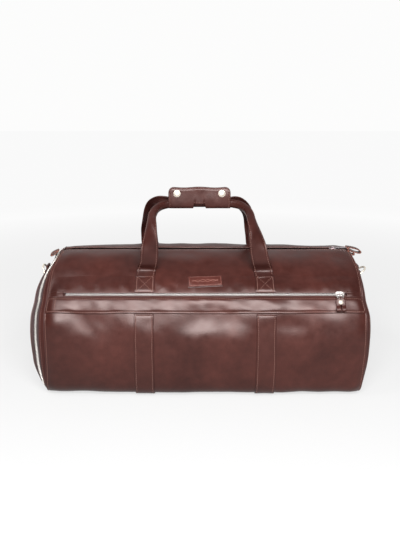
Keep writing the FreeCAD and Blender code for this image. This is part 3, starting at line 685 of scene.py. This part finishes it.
def body_panels():
    thread = Thread()
    lip_s = ARCH_R * math.asin(LIP / ARCH_R)
    for node, span in (("front_panel", (lip_s, S_CORNER)), ("back_panel", (S_ALL - S_CORNER, S_ALL - lip_s))):
        patch(f"{node}_hide", BODY, WIDTH, span, -LEATHER, LEATHER, HIDE_SET, node, step=4.5 * MM)
        thread.frame(BODY, WIDTH, span, -STITCH_SINK, sides="uU")
    for s in (lip_s + GROOVE, S_ALL - lip_s - GROOVE):
        thread.on(BODY, (-HALF + 3 * MM, s), (HALF - 3 * MM, s), -STITCH_SINK)
    patch("base_hide", BODY, WIDTH, (S_CORNER + 0.3 * MM, S_ALL - S_CORNER - 0.3 * MM), -LEATHER, LEATHER,
          HIDE_SET, "base_panel", step=7 * MM)
    patch("pocket_hide", BODY, WIDTH, (S_BAND_TOP, S_POCKET_END), pocket_lift, LEATHER, HIDE_SET,
          "front_pocket_panel", stitched="uUV")
    patch("pocket_lip_hide", BODY, WIDTH, (S_ZIP - LIP_FALL - 1 * MM, S_ZIP - LIP_GAP), upper_lift,
          upper_thickness, HIDE_SET, sides="uUV", stitched="", step_v=1.6 * MM)
    thread.frame(BODY, WIDTH, (S_BAND_LOW + 2 * MM, S_POCKET_END),
                 lambda x, s: pocket_lift(x, s) + LEATHER - STITCH_SINK, sides="uUV")
    thread.object("body_stitches", "body_leather")


def band_thickness(x, s):
    return LIP_SKIVED + (LEATHER - LIP_SKIVED) * smooth(5.2 * MM, 8 * MM, s - S_ZIP)


def band_outer(x, s):
    """Outer face of the band: pared over the zip tape, then a flat padded strip."""
    middle = smooth(S_ZIP + 6 * MM, S_ZIP + 12 * MM, s) * smooth(S_BAND_LOW, S_BAND_LOW - 7 * MM, s)
    wobble = 0.55 * MM * waves(x * 0.8, s * 1.2, RIPPLES) + 0.5 * MM * waves(x * 0.6, s * 0.3, DENTS)
    full = BAND_LIFT + LEATHER + middle * (0.9 * MM + wobble)
    ends = smooth(0, 14 * MM, HALF - np.abs(x))
    level = LIP_TOP + (full - LIP_TOP) * smooth(5.2 * MM, 8 * MM, s - S_ZIP)
    return 2.8 * MM + (level - 2.8 * MM) * ends


def pocket_band():
    """Horizontal band over the top of the pocket, with its turned edge right against the zip."""
    thread = Thread()
    span, width = (S_ZIP + LIP_GAP, S_BAND_LOW), (-HALF + 0.5 * MM, HALF - 0.5 * MM)
    patch("pocket_band_hide", BODY, width, span, lambda x, s: band_outer(x, s) - band_thickness(x, s),
          band_thickness, HIDE_SET, "pocket_band", stitched="uUV", step=3.2 * MM, step_v=1.4 * MM)
    thread.frame(BODY, width, (S_BAND_TOP - 1.5 * MM, S_BAND_LOW), lambda x, s: band_outer(x, s) - 0.1 * MM)
    end = -HALF + 18 * MM
    thread.on(BODY, (end, span[0] + 6 * MM), (end, span[1] - 4 * MM),
              lambda x, s: band_outer(x, s) - 0.05 * MM)
    thread.object("band_stitches", "body_leather")


def strap_lift(x, s):
    return pocket_lift(x, s) + LEATHER + 0.1 * MM


def load_straps():
    thread = Thread()
    for side, sign in SIDES:
        across = (sign * STRAP_X - STRAP_W / 2, sign * STRAP_X + STRAP_W / 2)
        front = (S_BAND_LOW + 0.6 * MM, S_POCKET_END - 3 * MM)
        patch(f"front_strap_{side}_hide", BODY, across, front, strap_lift, LEATHER, STRAP_SET,
              f"front_strap_{side}", step=3.5 * MM)
        thread.frame(BODY, across, front, lambda x, s: strap_lift(x, s) + LEATHER - STITCH_SINK)
        back = (S_BACK_STRAP, S_ALL - S_ANCHOR_LOW - 0.5 * MM)
        patch(f"back_strap_{side}_hide", BODY, across, back, 0.3 * MM, LEATHER, STRAP_SET,
              f"back_strap_{side}", step=5 * MM)
        thread.frame(BODY, across, (S_ALL - S_CORNER, back[1]), LEATHER - 0.05 * MM, sides="uU")
    thread.object("load_strap_stitches", "strap_leather")


def label():
    """Small leather patch with a plain pressed frame and a wavy ornament in place of any lettering."""
    thread = Thread()
    x0, half_w, half_h, rim = 0.5 * MM, 30.5 * MM, 10.5 * MM, 0.8 * MM
    tilt = math.radians(3.2)

    def base(u, v):
        x = x0 + u * math.cos(tilt) + v * math.sin(tilt)
        s = S_LABEL - u * math.sin(tilt) + v * math.cos(tilt)
        return BODY.at(x, s, np.maximum(0, upper_outer(x, s)))[0]

    skin = Skin(base, (0.0, 0.0), (0, -1, 0))
    patch("label_hide", skin, (-half_w, half_w), (-half_h, half_h), 1.2 * MM, 2.4 * MM, LABEL_SET,
          "label_patch", stitched="", step=2.5 * MM, swell=0.4 * MM)
    # Dark sheet 0.8 mm wider than the label all round: partly the label's edge paint, partly painted shade
    # along its raised edge
    patch("label_edge_paint_and_shade_rim", skin, (-half_w - rim, half_w + rim), (-half_h - rim, half_h + rim), 0.1 * MM,
          1.1 * MM, EDGE_PAINT_AND_SHADE_RIM_SET, stitched="")
    u = np.linspace(-half_w + 6 * MM, half_w - 6 * MM, 90)
    for phase in (0, math.pi):
        v = 2.3 * MM * np.sin(u / (3.1 * MM) + phase) * (0.75 + 0.25 * np.cos(u / (9 * MM)))
        thread.run(*skin.at(u, v, 3.85 * MM), pitch=1.5 * MM, length=1.9 * MM, radius=0.5 * MM)
    thread.frame(skin, (-half_w, half_w), (-half_h, half_h), 3.6 * MM, inset=2.2 * MM, pitch=2.4 * MM,
                 length=2.6 * MM, radius=0.34 * MM)
    thread.object("label_ornament", "body_leather", material=PRESSED)


# ---- ribbons


def directions(path):
    return unit(np.gradient(path, axis=0))


def outward_normals(path, side, index, out):
    """Normals of a path at right angles to a side direction, turned outward at one of its points."""
    normals = np.cross(directions(path), side)
    return normals if normals[index] @ out > 0 else -normals


def ribbon(name, path, normals, width, thickness, finish, fold=0.0, stitched=True, thread=None,
           stitch_span=(0.02, 0.98), press=1.0):
    """Leather strap along a path. fold is the angle that its section curls through, press flattens it."""
    count = len(path)
    tangent = directions(path)
    normals = unit(normals - tangent * (normals * tangent).sum(1, keepdims=True))
    across = np.cross(tangent, normals)
    width = np.broadcast_to(np.asarray(width, float), (count,))
    fold = np.broadcast_to(np.asarray(fold, float), (count,))
    reach = samples(-0.5 * width[0], 0.5 * width[0], 3 * MM) / (0.5 * width[0])

    def section_at(i, u):
        """Points of the strap's middle sheet at distances u across it, and the normals there."""
        a, h, tilt = u, 0 * u, 0 * u
        if abs(fold[i]) > 1e-3:
            r = width[i] / fold[i]
            tilt = u / r
            a, h = r * np.sin(tilt), press * r * (np.cos(tilt) - 1)
        p = path[i] + np.outer(a, across[i]) + np.outer(h, normals[i])
        return p, np.outer(np.cos(tilt), normals[i]) + np.outer(np.sin(tilt), across[i])

    def grid(height):
        rows = []
        for i in range(count):
            u = reach * width[i] / 2
            drop = edge_shape(width[i] / 2 - np.abs(u), thickness, stitched) if height > 0 else 0 * u
            p, n = section_at(i, u)
            rows.append(p + n * (height - drop)[:, None])
        return np.array(rows)

    piece = slab(name, grid(thickness / 2), grid(-thickness / 2), finish)
    if thread is not None:
        first, last = (int(share * count) for share in stitch_span)
        for edge in (-1, 1):
            rows = [section_at(i, np.array([edge * (width[i] / 2 - GROOVE)])) for i in range(first, last)]
            line = [p[0] + n[0] * (thickness / 2 - STITCH_SINK) for p, n in rows]
            thread.run(line, [n[0] for p, n in rows])
    return piece


def cross_box(thread, skin, u_range, v_range, lift):
    """Box stitched with a cross, as on a handle's anchor."""
    thread.frame(skin, u_range, v_range, lift, inset=0)
    (u0, u1), (v0, v1) = u_range, v_range
    thread.on(skin, (u0, v0), (u1, v1), lift)
    thread.on(skin, (u1, v0), (u0, v1), lift)


BOX_TALL = 30 * MM
FRONT_BOX_TALL = 34 * MM
BOX_END = 3.2 * MM  # front boxes stop this far above the middle of the pocket zip


def anchor_lift(x, s):
    """Stand-off of a front anchor, which rises with the leather over the pocket zip's tape."""
    return np.maximum(0.3 * MM, upper_outer(x, s) + 0.1 * MM) - 0.9 * MM * smooth(7 * MM, 3.4 * MM, S_ZIP - s)


def handles():
    for name, turn in FACES:
        thread = Thread()
        for side, sign in SIDES:
            x = sign * STRAP_X
            across = (x - STRAP_W / 2, x + STRAP_W / 2)
            if turn < 0:
                span = (S_ZIP - BOX_END - FRONT_BOX_TALL, S_ZIP - BOX_END)
                lift, face = anchor_lift, lambda x, s: anchor_lift(x, s) + LEATHER - 0.1 * MM
            else:
                span = (S_ALL - S_ANCHOR_LOW, S_ALL - S_ANCHOR_LOW + BOX_TALL)
                lift, face = 0.3 * MM, LEATHER + 0.2 * MM
            nodes = [f"{name}_handle_anchors"] if side == "left" else []
            patch(f"{name}_anchor_{side}_hide", BODY, across, span, lift, LEATHER, STRAP_SET, *nodes,
                  step=3 * MM)
            thread.frame(BODY, across, span, face, sides="uU")
            inner = (across[0] + GROOVE, across[1] - GROOVE)
            cross_box(thread, BODY, inner, (span[0] + 1 * MM, span[1] - 1 * MM), face)
            leg(name, side, turn, sign)
        thread.object(f"{name}_anchor_stitches", "strap_leather")


# points in millimetres up each leg, from above its box to its end inside the wrap
ROUTES = {
    ("front", "left"): [(-102.5, -91, 238), (-100.5, -92, 258), (-99, -90, 281), (-99, -82, 300),
                        (-98, -66, 315), (-93, -42, 325), (-84, -22, 330), (-71, -11, 332.5),
                        (-55, -8, 334.5), (-9, -7.5, 334.5)],
    ("front", "right"): [(101.5, -91, 240), (97, -91.5, 261), (93.5, -89, 282), (90.5, -81, 300),
                         (86, -66, 315), (79, -43, 326), (68, -23, 331.5), (55, -12, 333.5), (38, -8, 334.5),
                         (-11, -7.5, 334.5)],
    ("back", "left"): [(-114, 84, 236), (-115, 79, 262), (-115, 67, 288), (-111, 50, 309), (-103, 33, 325),
                       (-91, 19, 333.5), (-76, 11, 336.5), (-60, 8, 336), (-9, 7.5, 334.5)],
    ("back", "right"): [(103, 84, 238), (99, 78, 265), (92.5, 65, 290), (84, 48, 311), (73, 30, 326),
                        (60, 16, 334.5), (45, 9, 336), (-11, 7.5, 334.5)],
}


def leg(name, side, turn, sign):
    """Free part of a handle: upright from its box, folded lengthwise higher up, rolled in the wrap."""
    thread = Thread()
    x = sign * STRAP_X
    s_foot = S_ZIP - BOX_END - FRONT_BOX_TALL if turn < 0 else S_ALL - S_ANCHOR_LOW + BOX_TALL
    s_start = s_foot - turn * 3 * MM
    box_lift = anchor_lift(x, s_start) if turn < 0 else 0.3 * MM
    foot = BODY.at(x, s_start, box_lift + LEATHER - 1.5 * MM)[0]
    second = BODY.at(x * 0.985, s_foot + turn * 13 * MM, 3.4 * MM)[0]
    route = [foot, second] + [np.array(point) * MM for point in ROUTES[name, side]]
    path = even(spline(route, 110))
    share = np.linspace(0, 1, len(path))
    outward = np.cross(directions(path), np.array([1.0, 0, 0]) * turn)
    outward[:, 0] += sign * 0.65 * smooth(0.2, 0.36, share) * smooth(0.62, 0.5, share)
    upper = smooth(0.36, 0.56, share)[:, None]
    normals = outward * (1 - upper) + np.array([0, turn * 1.0, 0.05]) * upper
    fold = 0.15 + 0.6 * smooth(0.05, 0.3, share)
    if turn < 0:
        fold = fold + 2.7 * smooth(0.32, 0.52, share)
    else:
        fold = fold + 0.5 * smooth(0.32, 0.52, share) + 2.2 * smooth(0.64, 0.8, share)
    width = STRAP_W * (1 - 0.08 * smooth(0.0, 0.2, share) - 0.26 * smooth(0.28, 0.52, share))
    piece = ribbon(f"{name}_leg_{side}_hide", path, normals, width, 2.4 * MM, LEG_SET_PAINTED_SHADE, fold=fold,
                   thread=thread, stitch_span=(0.02, 0.60), press=0.6)
    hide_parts(f"{name}_handle_leg_{side}", *([f"{name}_handle_grip"] if side == "left" else []))
    stitches = thread.object(f"{name}_leg_{side}_stitches", "strap_leather", None)
    for obj in (piece, stitches):
        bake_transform(obj)


# ---- snap wrap

WRAP_X = -10 * MM
WRAP_HALF = 59 * MM
WRAP_FRONT = [(0.1, 324.4), (5.0, 324.0), (9.0, 325.6), (11.2, 329.6), (11.6, 335.0), (11.2, 341.0),
              (10.5, 347.0), (9.7, 353.0), (8.8, 359.0), (8.0, 363.0), (7.5, 365.2)]
WRAP_BACK = [(0.1, 324.4), (5.0, 324.0), (9.0, 325.6), (11.2, 329.6), (11.2, 335.0), (8.6, 341.0),
             (4.6, 346.5), (1.2, 351.5), (-0.8, 356.5), (-1.8, 361.0), (-2.0, 365.2)]


def wrap_skin(turn, profile, seed):
    """Half of the wrap, and its length: u runs along the grips, v up the profile from the fold."""
    curve = even(spline(np.array(profile) * MM, 160))
    length = travel(curve)[-1]
    dents = make_waves(seed, 10, 0.02, 0.07)

    def base(u, v):
        t = np.clip(v / length, 0, 1) * (len(curve) - 1)
        k = np.minimum(t.astype(int), len(curve) - 2)
        f = (t - k)[..., None]
        point = curve[k] * (1 - f) + curve[k + 1] * f
        soft = 0.4 * MM * waves(u, v, dents) * smooth(0, 12 * MM, v)
        spread = 0.8 * MM * hump(v, length, 7 * MM) * (0.5 + 0.5 * np.cos(u / (24 * MM)))
        y = turn * (point[..., 0] + np.maximum(soft, -0.3 * MM) + spread)
        return np.stack([WRAP_X + u, y, point[..., 1]], -1)

    return Skin(base, (0.0, 0.02), (0, turn, 0)), length


WRAP_CORNER = 11 * MM


def corner_cut(u):
    """How much a wrap's rounded corner takes off its height at u."""
    near = np.clip(WRAP_HALF - np.abs(u), 0, WRAP_CORNER)
    return WRAP_CORNER - np.sqrt(np.maximum(WRAP_CORNER ** 2 - (WRAP_CORNER - near) ** 2, 0))


def snap_wrap():
    halves = (("wrap_back", 1, "grips", WRAP_BACK), ("wrap_flap", -1, "flap", WRAP_FRONT))
    for node, turn, body, profile in halves:
        skin, length = wrap_skin(turn, profile, 51 + turn)
        us = samples(-WRAP_HALF, WRAP_HALF, 3 * MM)
        shares = samples(0, length, 2 * MM, low=False) / length
        u, share = np.meshgrid(us, shares, indexing="ij")
        notch = 17.0 * MM * (1 - smooth(8.8 * MM, 10.8 * MM, np.abs(u)))
        top = length - corner_cut(u) + 0.8 * MM * np.cos(u / (9.4 * MM)) - 0.8 * MM
        v = notch + (top - notch) * share
        drop = edge_shape(np.minimum(WRAP_HALF - np.abs(u), top - v), LEATHER, True)
        piece = slab(f"{node}_hide", skin.at(u, v, -drop)[0], skin.at(u, v, -LEATHER)[0], STRAP_SET)
        if turn > 0:
            place(piece, body, node)
        else:
            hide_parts(node)
            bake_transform(piece)
        thread = Thread()
        fine = {"pitch": 3.4 * MM, "length": 2.5 * MM, "radius": 0.36 * MM}
        line = np.linspace(-WRAP_HALF + GROOVE, WRAP_HALF - GROOVE, 60)
        thread.run(*skin.at(line, length - corner_cut(line) - GROOVE, -0.3 * MM), **fine)
        for edge in (-WRAP_HALF + GROOVE, WRAP_HALF - GROOVE):
            thread.on(skin, (edge, 3 * MM), (edge, length - WRAP_CORNER), -0.3 * MM, **fine)
        thread.on(skin, (-11 * MM, 20.5 * MM), (11 * MM, 20.5 * MM), -0.2 * MM, pitch=3.0 * MM,
                  length=2.2 * MM, radius=0.34 * MM)
        thread.object(f"{node}_stitches", "strap_leather", body)


def lathe(name, profile, origin, axis, finish):
    """Turned piece: profile is (radius, height) pairs from the foot to the tip."""
    axis = unit(np.asarray(axis, float))
    a = unit(np.cross(axis, [1, 0, 0]))
    b = np.cross(axis, a)
    vertices, sides = [], 40
    for radius, height in profile:
        for k in range(sides):
            angle = 2 * math.pi * k / sides
            vertices.append(origin + axis * height + (a * math.cos(angle) + b * math.sin(angle)) * radius)
    obj = new_object(name, vertices, tube_faces(len(profile), sides), finish)
    face_out(obj)
    return obj


# radius and height in millimetres up a snap's domed cap
DOME = [(6.6, 0.0), (6.8, 0.25), (6.7, 0.7), (6.3, 0.95), (5.9, 1.0), (5.6, 1.25), (5.0, 1.9), (4.0, 2.5),
        (2.7, 2.95), (1.3, 3.2), (0.2, 3.25)]


def snaps():
    z, spacing = 353 * MM, 42.5 * MM
    profile = [(r * MM, h * MM) for r, h in DOME]
    kinds = (("snap_cap", -9.3, (0, -1, 0.15), "flap"), ("snap_stud", 0.2, (0, 1, 0.4), "grips"))
    for side, sign in SIDES:
        x = WRAP_X + sign * spacing
        for name, y, axis, body in kinds:
            piece = lathe(f"{name}_{side}", profile, np.array([x, y * MM, z]), axis, NICKEL_SET)
            place(piece, body, *([f"{name}s"] if side == "left" else []))


# ---- zips


def rounded_tooth(along, across, up, size):
    """Corners of a small block with cut-off edges, in four rings of eight."""
    points = []
    l, w, h = size
    c = 0.28 * min(l, w)
    for z, inset in ((-h / 2, 0.25), (-h / 2 + 0.25 * h, 0.0), (h / 2 - 0.3 * h, 0.0), (h / 2, 0.32)):
        li, wi = l / 2 - inset * l * 0.5, w / 2 - inset * w * 0.3
        for a, b in ((-li + c, -wi), (li - c, -wi), (li, -wi + c), (li, wi - c), (li - c, wi), (-li + c, wi),
                     (-li, wi - c), (-li, -wi + c)):
            points.append(along * a + across * b + up * z)
    return points


def zip_chain(name, points, normals, node, finish=SILVER_SET):
    """Two rows of metal teeth that meet along a line of points."""
    distance = travel(points)
    count = 2 * int(distance[-1] / (2.7 * MM))
    vertices, faces = [], []
    for i in range(count):
        d = (i + 0.5) * distance[-1] / count
        p = between(points, distance, d)
        along = unit(between(points, distance, d + 0.4 * MM) - p)
        n = between(normals, distance, d)
        n = unit(n - along * (n @ along))
        across = np.cross(n, along)
        faces += tube_faces(4, 8, len(vertices))
        centre = p + across * (0.95 * MM if i % 2 else -0.95 * MM)
        vertices += [centre + t for t in rounded_tooth(along, across, n, (1.25 * MM, 3.0 * MM, 2.3 * MM))]
    place(new_object(name, vertices, faces, finish, smooth_shading=False), "bag", node)


def top_zip():
    z = 241 * MM
    xs = np.linspace(-268 * MM, 272 * MM, 120)
    points = np.stack([xs, 0 * xs, 0 * xs + z], -1)
    zip_chain("top_zip_chain", points, np.broadcast_to(np.array([0, 0, 1.0]), points.shape), "top_zip_teeth")
    for name, turn in FACES:
        def base(u, v, turn=turn):
            return np.stack([u, turn * (2.2 * MM + v), z - 0.14 * v], -1)

        skin = Skin(base, (0.0, 0.01), (0, 0, 1))
        patch(f"top_tape_{name}", skin, (-271 * MM, 275 * MM), (0, 18 * MM), -0.4 * MM, 0.8 * MM, TAPE_SET,
              f"top_zip_tape_{name}", stitched="", step=8 * MM)


ZIP_LIFT = 3.6 * MM


def tape_lift(x, s):
    """Stand-off of the pocket zip's tape, which falls away outside the slider's plates."""
    return ZIP_LIFT - 0.4 * MM - 0.55 * np.clip(np.abs(s - S_ZIP) - 5.5 * MM, 0, 3.5 * MM)


def zip_end_lift(x, s):
    return np.maximum(0, upper_outer(x, 0 * s + S_ZIP - 5 * MM)) - 0.9 * MM


def pocket_zip():
    half = 249 * MM
    points, normals = BODY.at(np.linspace(-half, half, 200), S_ZIP, ZIP_LIFT)
    zip_chain("pocket_zip_chain", points, normals, "pocket_zip_teeth")
    spans = {"upper": (S_ZIP - 9 * MM, S_ZIP - 2.2 * MM), "lower": (S_ZIP + 2.2 * MM, S_ZIP + 9 * MM)}
    for name, span in spans.items():
        patch(f"pocket_tape_{name}", BODY, (-half - 5 * MM, half + 5 * MM), span, tape_lift, 0.8 * MM,
              TAPE_SET, f"pocket_zip_tape_{name}", stitched="", step_v=1.2 * MM)
    for side, sign in SIDES:
        ends = sorted((sign * (half + 4 * MM), sign * (HALF - 2 * MM)))
        patch(f"pocket_zip_end_{side}", BODY, ends, (S_ZIP - 6 * MM, S_ZIP + 4 * MM), zip_end_lift, 1.4 * MM,
              HIDE_SET, stitched="", step=3 * MM, step_v=1.2 * MM)


def refinish(node, material):
    """Keeps a CAD node's own shape with another material."""
    obj = frame["nodes"][node]
    obj.data.materials.clear()
    obj.data.materials.append(material)
    return obj


METAL_PARTS = {
    "pocket_zip_slider": SILVER, "pocket_pull_link": SILVER, "end_zip_slider_left": SILVER,
    "end_zip_pull_left": SILVER, "end_zip_slider_right": SILVER, "end_zip_pull_right": SILVER,
    "top_zip_slider": GUNMETAL, "top_zip_pull": GUNMETAL,
    "strap_ring_left": NICKEL, "strap_ring_right": NICKEL,
}


def hardware():
    for node, material in METAL_PARTS.items():
        bevel = refinish(node, material).modifiers.new("soft_edges", "BEVEL")
        bevel.width = 0.2 * MM
        bevel.segments = 2
        bevel.limit_method = "ANGLE"
        bevel.angle_limit = math.radians(40)


def pivot_of(name):
    return np.array(next(joint for joint in frame["joints"] if joint["name"] == name)["pos_m"])


def puller():
    """Folded leather puller with a domed stud."""
    pivot = pivot_of("pocket_puller_turn")
    hang = math.radians(ZIP_ANGLE - 2)
    down = np.array([0, -math.sin(hang), -math.cos(hang)])
    out = np.array([0, -math.cos(hang), math.sin(hang)])
    points = [pivot + down * (d * MM) + out * (h * MM) for d, h in
              ((3.0, -1.3), (0.8, -1.75), (-1.2, -1.25), (-1.9, 0.0), (-1.2, 1.25), (0.8, 1.75), (4, 1.35),
               (10, 1.1), (15.5, 1.1), (18.5, 2.0), (22, 3.2), (25.0, 2.4), (25.9, 0.4), (24.4, -1.35),
               (20, -1.25), (10, -1.2), (4.0, -1.2))]
    path = even(spline(points, 110))
    width = 7.4 * MM + 9.6 * MM * smooth(1.8 * MM, 5.5 * MM, (path - pivot) @ down)
    normals = outward_normals(path, [1.0, 0, 0], 60, out)
    piece = ribbon("pocket_puller_hide", path, normals, width, 1.3 * MM, STRAP_SET, stitched=False)
    place(piece, "puller", "pocket_puller")
    stud = lathe("pocket_puller_stud", [(r * 0.62 * MM, h * 0.75 * MM) for r, h in DOME],
                 pivot + down * 9 * MM + out * 1.7 * MM, out, NICKEL_SET)
    place(stud, "puller", "puller_stud")


# ---- ends


def zipped_end(side, sign):
    end = End(side, sign)
    slant = end.slant
    middle = 0.6 * slant
    around = np.linspace(0, S_ALL, 360, endpoint=False)
    line = np.linspace(0, S_ALL, 500)

    def ring(name, skin, us, low, high, finish, *nodes, hub=False):
        u, s = np.meshgrid(us, around, indexing="ij")
        piece = slab(name, skin.at(u, s, high)[0], skin.at(u, s, low)[0], finish, wrap_v=True, hub=hub)
        place(piece, "bag", *nodes)

    gusset = samples(0.4 * MM, 0.38 * slant, 2 * MM, low=False)
    ring(f"gusset_{side}_hide", end.cone, gusset, -LEATHER, 0.0, GUSSET_SET, f"gusset_{side}")
    inner, outer = (0.34 * slant, middle - 2.2 * MM), (middle + 3.0 * MM, 0.9 * slant)
    ring(f"end_tape_inner_{side}", end.cone, np.linspace(*inner, 5), -0.9 * MM, -0.1 * MM, TAPE_SET,
         f"end_zip_tape_{side}")
    ring(f"end_tape_outer_{side}", end.cone, np.linspace(*outer, 5), -0.7 * MM, 0.1 * MM, TAPE_SET)
    zip_chain(f"end_zip_chain_{side}", *end.cone.at(middle, line), f"end_zip_teeth_{side}", IVORY_SET)
    ks = np.concatenate([[0, 0.004, 0.012, 0.025, 0.04, 0.06], np.linspace(0.09, 0.97, 26)])
    ring(f"end_panel_{side}_hide", end.dome, ks, -LEATHER, 0.0, GUSSET_SET, f"end_panel_{side}", hub=True)
    thread = Thread()
    thread.run(*end.cone.at(0.38 * slant - 2.2 * MM, line, -0.1 * MM))
    thread.run(*end.dome.at(0.035, line, -0.05 * MM))
    thread.object(f"end_stitches_{side}", "body_leather")


def grab_loop(name, start, direction, length, width, tall, *nodes):
    """Folded leather loop with an open eye."""
    thread = Thread()
    direction = unit(np.asarray(direction, float))
    up = unit(np.cross(np.cross(direction, [0, 0, 1]), direction))
    spots = [(0, 0.25), (0.3, 0.75), (0.62, 1.0), (0.86, 0.8), (0.98, 0.2), (0.97, -0.4),
             (0.84, -0.85), (0.6, -0.95), (0.3, -0.7), (0, -0.3)]
    points = [np.array(start) + direction * (a * length) + up * (b * tall / 2) for a, b in spots]
    path = even(spline(points, 60))
    normals = outward_normals(path, np.cross(direction, up), 10, up)
    piece = ribbon(name, path, normals, width, 1.8 * MM, LOOP_SET, thread=thread, stitch_span=(0.03, 0.97))
    place(piece, "bag", *nodes)
    thread.object(f"{name}_stitches", "strap_leather")


def grab_loops():
    grab_loop("grab_loop_right_hide", (HALF - 7 * MM, 0, 247 * MM), (1, 0, -0.34), 30 * MM, 16 * MM, 7 * MM,
              "grab_loop_right")
    grab_loop("end_tab_right_hide", (HALF - 6 * MM, -12 * MM, 243.5 * MM), (0.9, -0.1, -0.55), 14 * MM,
              14 * MM, 5 * MM)
    grab_loop("grab_loop_left_hide", (-HALF + 3 * MM, -20 * MM, 246 * MM), (-1, -0.15, -0.62), 18 * MM,
              14 * MM, 4.4 * MM, "grab_loop_left")


def chapes():
    """Leather tab folded round each strap ring's bar and sewn to the end panel."""
    for side, sign in SIDES:
        thread = Thread()
        pivot = pivot_of(f"{side}_ring_turn")
        spots = [(-3.4, 15), (-3.0, 8), (-2.9, 2.5), (-1.2, 3.0), (1.6, 2.7), (3.1, 0.6), (2.6, -1.9),
                 (0.4, -3.1), (-2.0, -2.6), (-4.0, -1.0), (-5.0, 2.5), (-5.2, 8), (-5.6, 15)]
        path = even(spline([pivot + np.array([sign * a * MM, 0, b * MM]) for a, b in spots], 70))
        normals = outward_normals(path, [0, 1.0, 0], 0, np.array([sign, 0, 0]))
        piece = ribbon(f"chape_{side}_hide", path, normals, 22 * MM, 1.5 * MM, STRAP_SET, thread=thread,
                       stitch_span=(0.0, 0.25))
        place(piece, "bag", f"strap_ring_chape_{side}")
        thread.object(f"chape_{side}_stitches", "strap_leather")


# ---- studio


def floor_material():
    """Pale paper that glows a little more further out, so that it meets the backdrop without a line."""
    material, tree, shader = start_material("paper")
    length = tree.nodes.new("ShaderNodeVectorMath")
    length.operation = "LENGTH"
    tree.links.new(coordinates(tree), length.inputs[0])
    metres = tree.nodes.new("ShaderNodeMath")
    metres.operation = "DIVIDE"
    metres.inputs[1].default_value = 5.0
    tree.links.new(length.outputs["Value"], metres.inputs[0])
    far = metres.outputs["Value"]
    fill(tree, shader, {
        "Emission Color": ramp(tree, far, 0.09, 0.36, grey(0.655), grey(0.95)),
        "Emission Strength": 1.0,
        "Base Color": ramp(tree, far, 0.12, 0.42, grey(0.13), grey(0.0)),
        "Roughness": 0.9,
        "Specular IOR Level": 0.0,
    })
    return material


def sky():
    """White backdrop for the camera, and a dim room with a lighter far side for everything else."""
    world = bpy.data.worlds.new("studio")
    bpy.context.scene.world = world
    world.use_nodes = True
    tree = world.node_tree
    tree.nodes.clear()
    split = add_node(tree, "ShaderNodeSeparateXYZ", {"Vector": coordinates(tree, "Generated")})
    far = ramp(tree, split.outputs["Y"], 0.0, 0.75, grey(0.10), grey(0.70))
    room = add_node(tree, "ShaderNodeBackground", {"Color": far})
    paper = add_node(tree, "ShaderNodeBackground", {"Color": (0.975, 0.975, 0.972, 1)})
    rays = tree.nodes.new("ShaderNodeLightPath")
    mix = add_node(tree, "ShaderNodeMixShader", {"Fac": rays.outputs["Is Camera Ray"]})
    tree.links.new(room.outputs["Background"], mix.inputs[1])
    tree.links.new(paper.outputs["Background"], mix.inputs[2])
    add_node(tree, "ShaderNodeOutputWorld", {"Surface": mix.outputs["Shader"]})


def studio():
    half = 9.0
    corners = [(-half, -half, 0), (half, -half, 0), (half, half, 0), (-half, half, 0)]
    mesh = bpy.data.meshes.new("floor")
    mesh.from_pydata(corners, [], [(0, 1, 2, 3)])
    floor = bpy.data.objects.new("floor", mesh)
    bpy.context.scene.collection.objects.link(floor)
    mesh.materials.append(floor_material())
    sky()
    area_light("front_high", (0.04, -1.70, 1.35), (0.0, -0.12, 0.17), 1.6, 0.95, 134)
    area_light("overhead", (-0.9, -0.6, 1.7), (-0.15, 0, 0.2), 0.5, 0.5, 9)

    camera_data = bpy.data.cameras.new("camera")
    camera = bpy.data.objects.new("camera", camera_data)
    bpy.context.scene.collection.objects.link(camera)
    aim = Vector((-0.009, 0, 0.2075))
    elevation, distance = math.radians(15.2), 1.23
    sensor_height, focal_share = 36, 625 / 533
    camera.location = aim + distance * Vector((0, -math.cos(elevation), math.sin(elevation)))
    camera.rotation_euler = (aim - camera.location).to_track_quat("-Z", "Y").to_euler()
    camera_data.sensor_fit = "VERTICAL"
    camera_data.sensor_height = sensor_height
    camera_data.lens = sensor_height * focal_share
    camera_data.clip_end = 60
    bpy.context.scene.camera = camera
    bpy.context.scene.view_settings.view_transform = "Standard"


def area_light(name, location, target, width, depth, power):
    data = bpy.data.lights.new(name, "AREA")
    data.shape = "RECTANGLE"
    data.size, data.size_y, data.energy = width, depth, power
    light = bpy.data.objects.new(name, data)
    light.location = location
    light.rotation_euler = (Vector(target) - Vector(location)).to_track_quat("-Z", "Y").to_euler()
    bpy.context.scene.collection.objects.link(light)


body_panels()
pocket_band()
load_straps()
label()
handles()
snap_wrap()
snaps()
top_zip()
pocket_zip()
hardware()
puller()
for end_side, end_sign in SIDES:
    zipped_end(end_side, end_sign)
grab_loops()
chapes()
refinish("lining", LINING)
refinish("base_board", BOARD)
studio()
